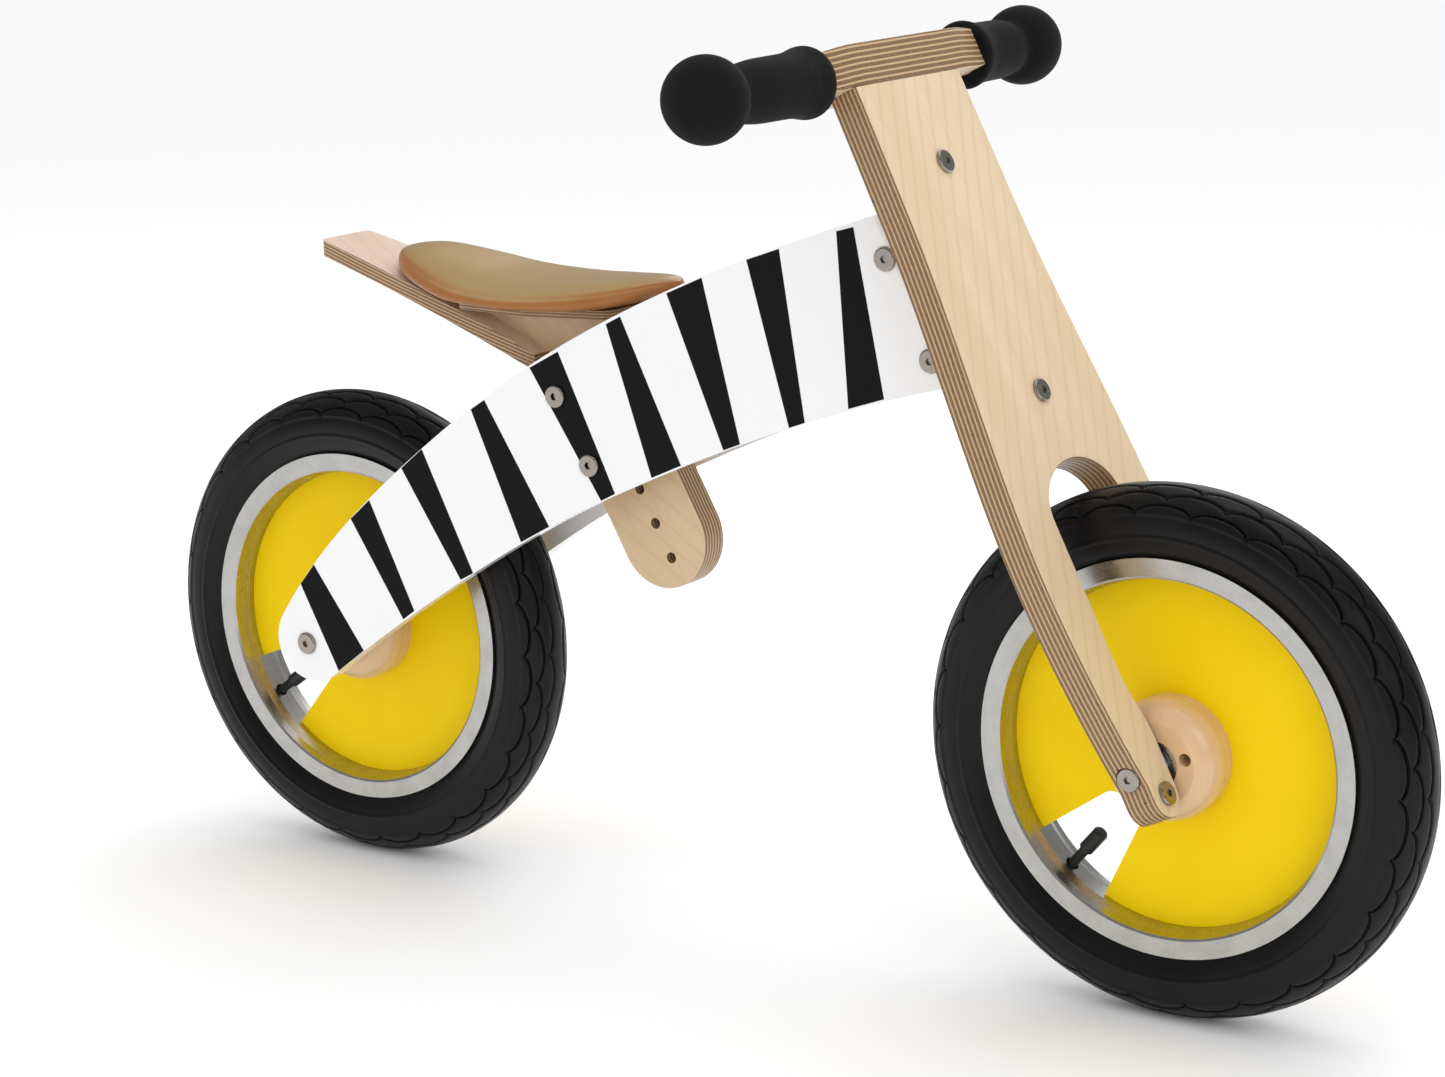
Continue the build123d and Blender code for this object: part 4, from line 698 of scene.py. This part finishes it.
# Stations from the rear axle, millimetres: half width, crown height, underside height (above the ground).
SADDLE_WIDTH = [(42, 3), (43, 6.5), (46, 13), (54, 22), (65, 31), (90, 44), (120, 53), (150, 56.2),
                (175, 52.5), (195, 43.5), (215, 30), (230, 16), (236, 9), (238.5, 3)]
SADDLE_TOP = [(42, 378.6), (45, 381.4), (52, 383.4), (65, 383.6), (90, 378.8), (120, 372.6), (155, 370.4),
              (190, 372.6), (220, 375.2), (233, 375.4), (238.5, 373.5)]
SADDLE_UNDER = [(42, 371.6), (60, 366.8), (85, 361.8), (110, 357.8), (190, 357.4), (215, 360.8),
                (238.5, 367.8)]
SADDLE_BELT = 4.6                                        # middle of the side band, above the underside
CREASE_DEPTH = 0.5
CREASE_PLACE = 0.93                                      # share of the half width
CREASE_WIDTH = 0.030


def saddle():
    """Moulded seat: dished crown with a soft crease round its edge, rolled side, flat underside."""
    rings = 96
    around = 96
    x0, x1 = SADDLE_WIDTH[0][0], SADDLE_WIDTH[-1][0]
    verts = []
    faces = []
    for i in range(rings + 1):
        f = 0.5 - 0.5 * math.cos(math.pi * i / rings)
        x = x0 + (x1 - x0) * f
        w = interpolate(SADDLE_WIDTH, x)
        top = interpolate(SADDLE_TOP, x)
        under = interpolate(SADDLE_UNDER, x)
        belt = min(SADDLE_BELT, 0.45 * (top - under))
        for k in range(around):
            a = 2 * math.pi * (k + 0.5) / around
            c, sn = math.cos(a), math.sin(a)
            if sn >= 0:
                e = abs(c) ** 0.70
                z = under + belt + (top - under - belt) * (1 - e ** 3.0) ** 0.5
                z -= CREASE_DEPTH * math.exp(-((e - CREASE_PLACE) / CREASE_WIDTH) ** 2)
            else:
                e = abs(c) ** 0.42
                z = under + belt - belt * (1 - e ** 6) ** 0.5
            y = w * math.copysign(e, c)
            verts.append(((REAR_AXLE.x * 1000 + x) / 1000, y / 1000, z / 1000))
    for i in range(rings):
        for k in range(around):
            j = (k + 1) % around
            near, far = i * around, (i + 1) * around
            faces.append((near + k, near + j, far + j, far + k))
    faces.append(tuple(range(around))[::-1])
    faces.append(tuple(rings * around + k for k in range(around)))
    made = add("saddle_cover", verts, faces)
    work = bmesh.new()
    work.from_mesh(made.data)
    bmesh.ops.recalc_face_normals(work, faces=work.faces)
    work.to_mesh(made.data)
    work.free()
    return made


# ------------------------------------------------------------------ build
white = laminate("white_laminate")
black = black_print("black_print")
birch = plywood("birch_fork", AHEAD, UP, FRONT_AXLE, 0.018, 6.5)
bar_ply = plywood("birch_bar", UP, ACROSS, FRONT_AXLE + UP * BAR_LEVEL, 0.0235, 7.5)
post_ply = plywood("birch_post", ACROSS, POST_DOWN, REAR_AXLE, 0.018, 6.5, tint=POST_VENEER)
base_ply = plywood("birch_base", (0, 0, 1), (1, 0, 0), centre("saddle_base"), 0.005, 3)
tail_ply = plywood("bent_ply", TAIL_NORMAL, TAIL_ALONG, REAR_AXLE, 0.009, 4.5, tint=TAIL_VENEER)
block_wood = hardwood("hardwood", UP, BLOCK_WOOD)
nickel = plated("nickel_steel")
steel = plated("bright_steel", (0.56, 0.56, 0.57), 0.26)
yellow = yellow_board("yellow_board")
black_rubber = rubber("tube_rubber")
tread = tyre_rubber("tyre_rubber")
cap_plastic = plastic("black_plastic", (0.012, 0.012, 0.013), 0.42)
bush_plastic = plastic("bush_plastic", (0.70, 0.69, 0.66), 0.45)
foam_black = foam("grip_foam")
tan = vinyl("saddle_vinyl")

paint(white, "panel_right", "panel_left")
paint(birch, "fork_plate")
paint(bar_ply, "handlebar")
paint(post_ply, "seat_post", "seat_spacer_right", "seat_spacer_left")
paint(base_ply, "saddle_base")
paint(tail_ply, "tail_plate")
paint(block_wood, "head_block", "knuckle_upper", "knuckle_lower")
paint(bush_plastic, "steering_bush_upper", "steering_bush_lower")
paint(nickel, "steering_pin", "steering_nut", "fork_bolt_upper", "fork_bolt_lower", "handlebar_screws",
      "leg_screws", "front_axle_bolts", "rear_axle_bolts", "head_bolt_upper", "head_bolt_lower", "head_nuts",
      "seat_bolt_upper", "seat_bolt_lower", "seat_nuts")
paint(steel, "front_axle", "rear_axle", "front_washer_right", "front_washer_left", "rear_spacer_right",
      "rear_spacer_left")
for wheel, axle in (("front", FRONT_AXLE), ("rear", REAR_AXLE)):
    paint(yellow, wheel + "_disc")
    paint(turned_beech("turned_beech_" + wheel, axle), wheel + "_hub_right", wheel + "_hub_left")
    paint(brushed("rim_metal_" + wheel, axle, (0.50, 0.49, 0.465)), wheel + "_rim")
    paint(steel, wheel + "_bearing_right", wheel + "_bearing_left", wheel + "_hub_screws")
    paint(black_rubber, wheel + "_inner_tube")
    paint(cap_plastic, wheel + "_valve_cap")
    finish_piece(tyre(wheel + "_tyre_treaded", axle), wheel + "_wheel", tread, wheel + "_tyre")

soften(0.0009, "panel_right", "panel_left")
soften(0.0010, "handlebar", "seat_post", "tail_plate", "saddle_base", "head_block", "knuckle_upper",
       "knuckle_lower")
soften(0.0005, "front_disc", "rear_disc")

for side in (-1, 1):
    finish_piece(stripes(side), "frame", black)
    hand = "right" if side < 0 else "left"
    node = "grip_" + hand
    piece = finish_piece(grip("grip_foam_" + hand, node, side), "fork", foam_black, node)

seat = finish_piece(saddle(), "frame", tan, "saddle_pad")

# ------------------------------------------------------------------ stage
reach = 30.0
corners = [(-reach, -reach, 0), (reach, -reach, 0), (reach, reach, 0), (-reach, reach, 0)]
floor = add("floor", corners, [(0, 1, 2, 3)], smooth=False)
ground = Shader("floor_paper")
ground.set(color=(0.955, 0.960, 0.970), rough=0.9, spec=0.05)
floor.data.materials.append(ground.mat)

world = bpy.data.worlds.new("studio")
world.use_nodes = True
sky = world.node_tree.nodes["Background"]
sky.inputs["Color"].default_value = (1.0, 1.0, 1.0, 1.0)

# The white surroundings are dimmed in reflections only, so that black pieces stay black.
rays = world.node_tree.nodes.new("ShaderNodeLightPath")
dim = world.node_tree.nodes.new("ShaderNodeMath")
dim.operation = "MULTIPLY_ADD"
dim.inputs[1].default_value = -0.68
dim.inputs[2].default_value = 1.0
world.node_tree.links.new(rays.outputs["Is Glossy Ray"], dim.inputs[0])
world.node_tree.links.new(dim.outputs[0], sky.inputs["Strength"])
bpy.context.scene.world = world


def softbox(name, place, target, size, power):
    """Rectangular white light that faces its target."""
    light = bpy.data.lights.new(name, "AREA")
    light.shape = "RECTANGLE"
    light.size, light.size_y = size
    light.energy = power
    made = bpy.data.objects.new(name, light)
    made.location = place
    made.rotation_euler = (Vector(target) - Vector(place)).to_track_quat("-Z", "Y").to_euler()
    bpy.context.scene.collection.objects.link(made)


softbox("overhead", (0.3, 0.5, 2.4), (0.0, 0.0, 0.2), (2.2, 1.6), 12.0)
softbox("front_right", (2.4, -1.2, 1.7), (0.0, 0.0, 0.2), (1.4, 1.4), 7.0)
softbox("left_rim", (-0.6, 2.2, 1.3), (0.0, 0.0, 0.3), (1.6, 1.0), 8.0)

azimuth = math.radians(34.37)
elevation = math.radians(13.46)
roll = math.radians(-1.34)
level = math.cos(elevation)
back = Vector((math.sin(azimuth) * level, -math.cos(azimuth) * level, math.sin(elevation)))
flat = Vector((math.cos(azimuth), math.sin(azimuth), 0.0))
lift = back.cross(flat)
right = flat * math.cos(roll) + lift * math.sin(roll)
above = lift * math.cos(roll) - flat * math.sin(roll)
camera_data = bpy.data.cameras.new("camera")
camera_data.lens = 82.04
camera_data.sensor_width = 36.0
camera_data.clip_end = 100.0
camera = bpy.data.objects.new("camera", camera_data)
turn = Matrix((right, above, back)).transposed().to_4x4()
camera.matrix_world = Matrix.Translation(Vector((1.01525, -1.5006, 0.6628))) @ turn
bpy.context.scene.collection.objects.link(camera)
bpy.context.scene.camera = camera
bpy.context.scene.view_settings.view_transform = "Standard"
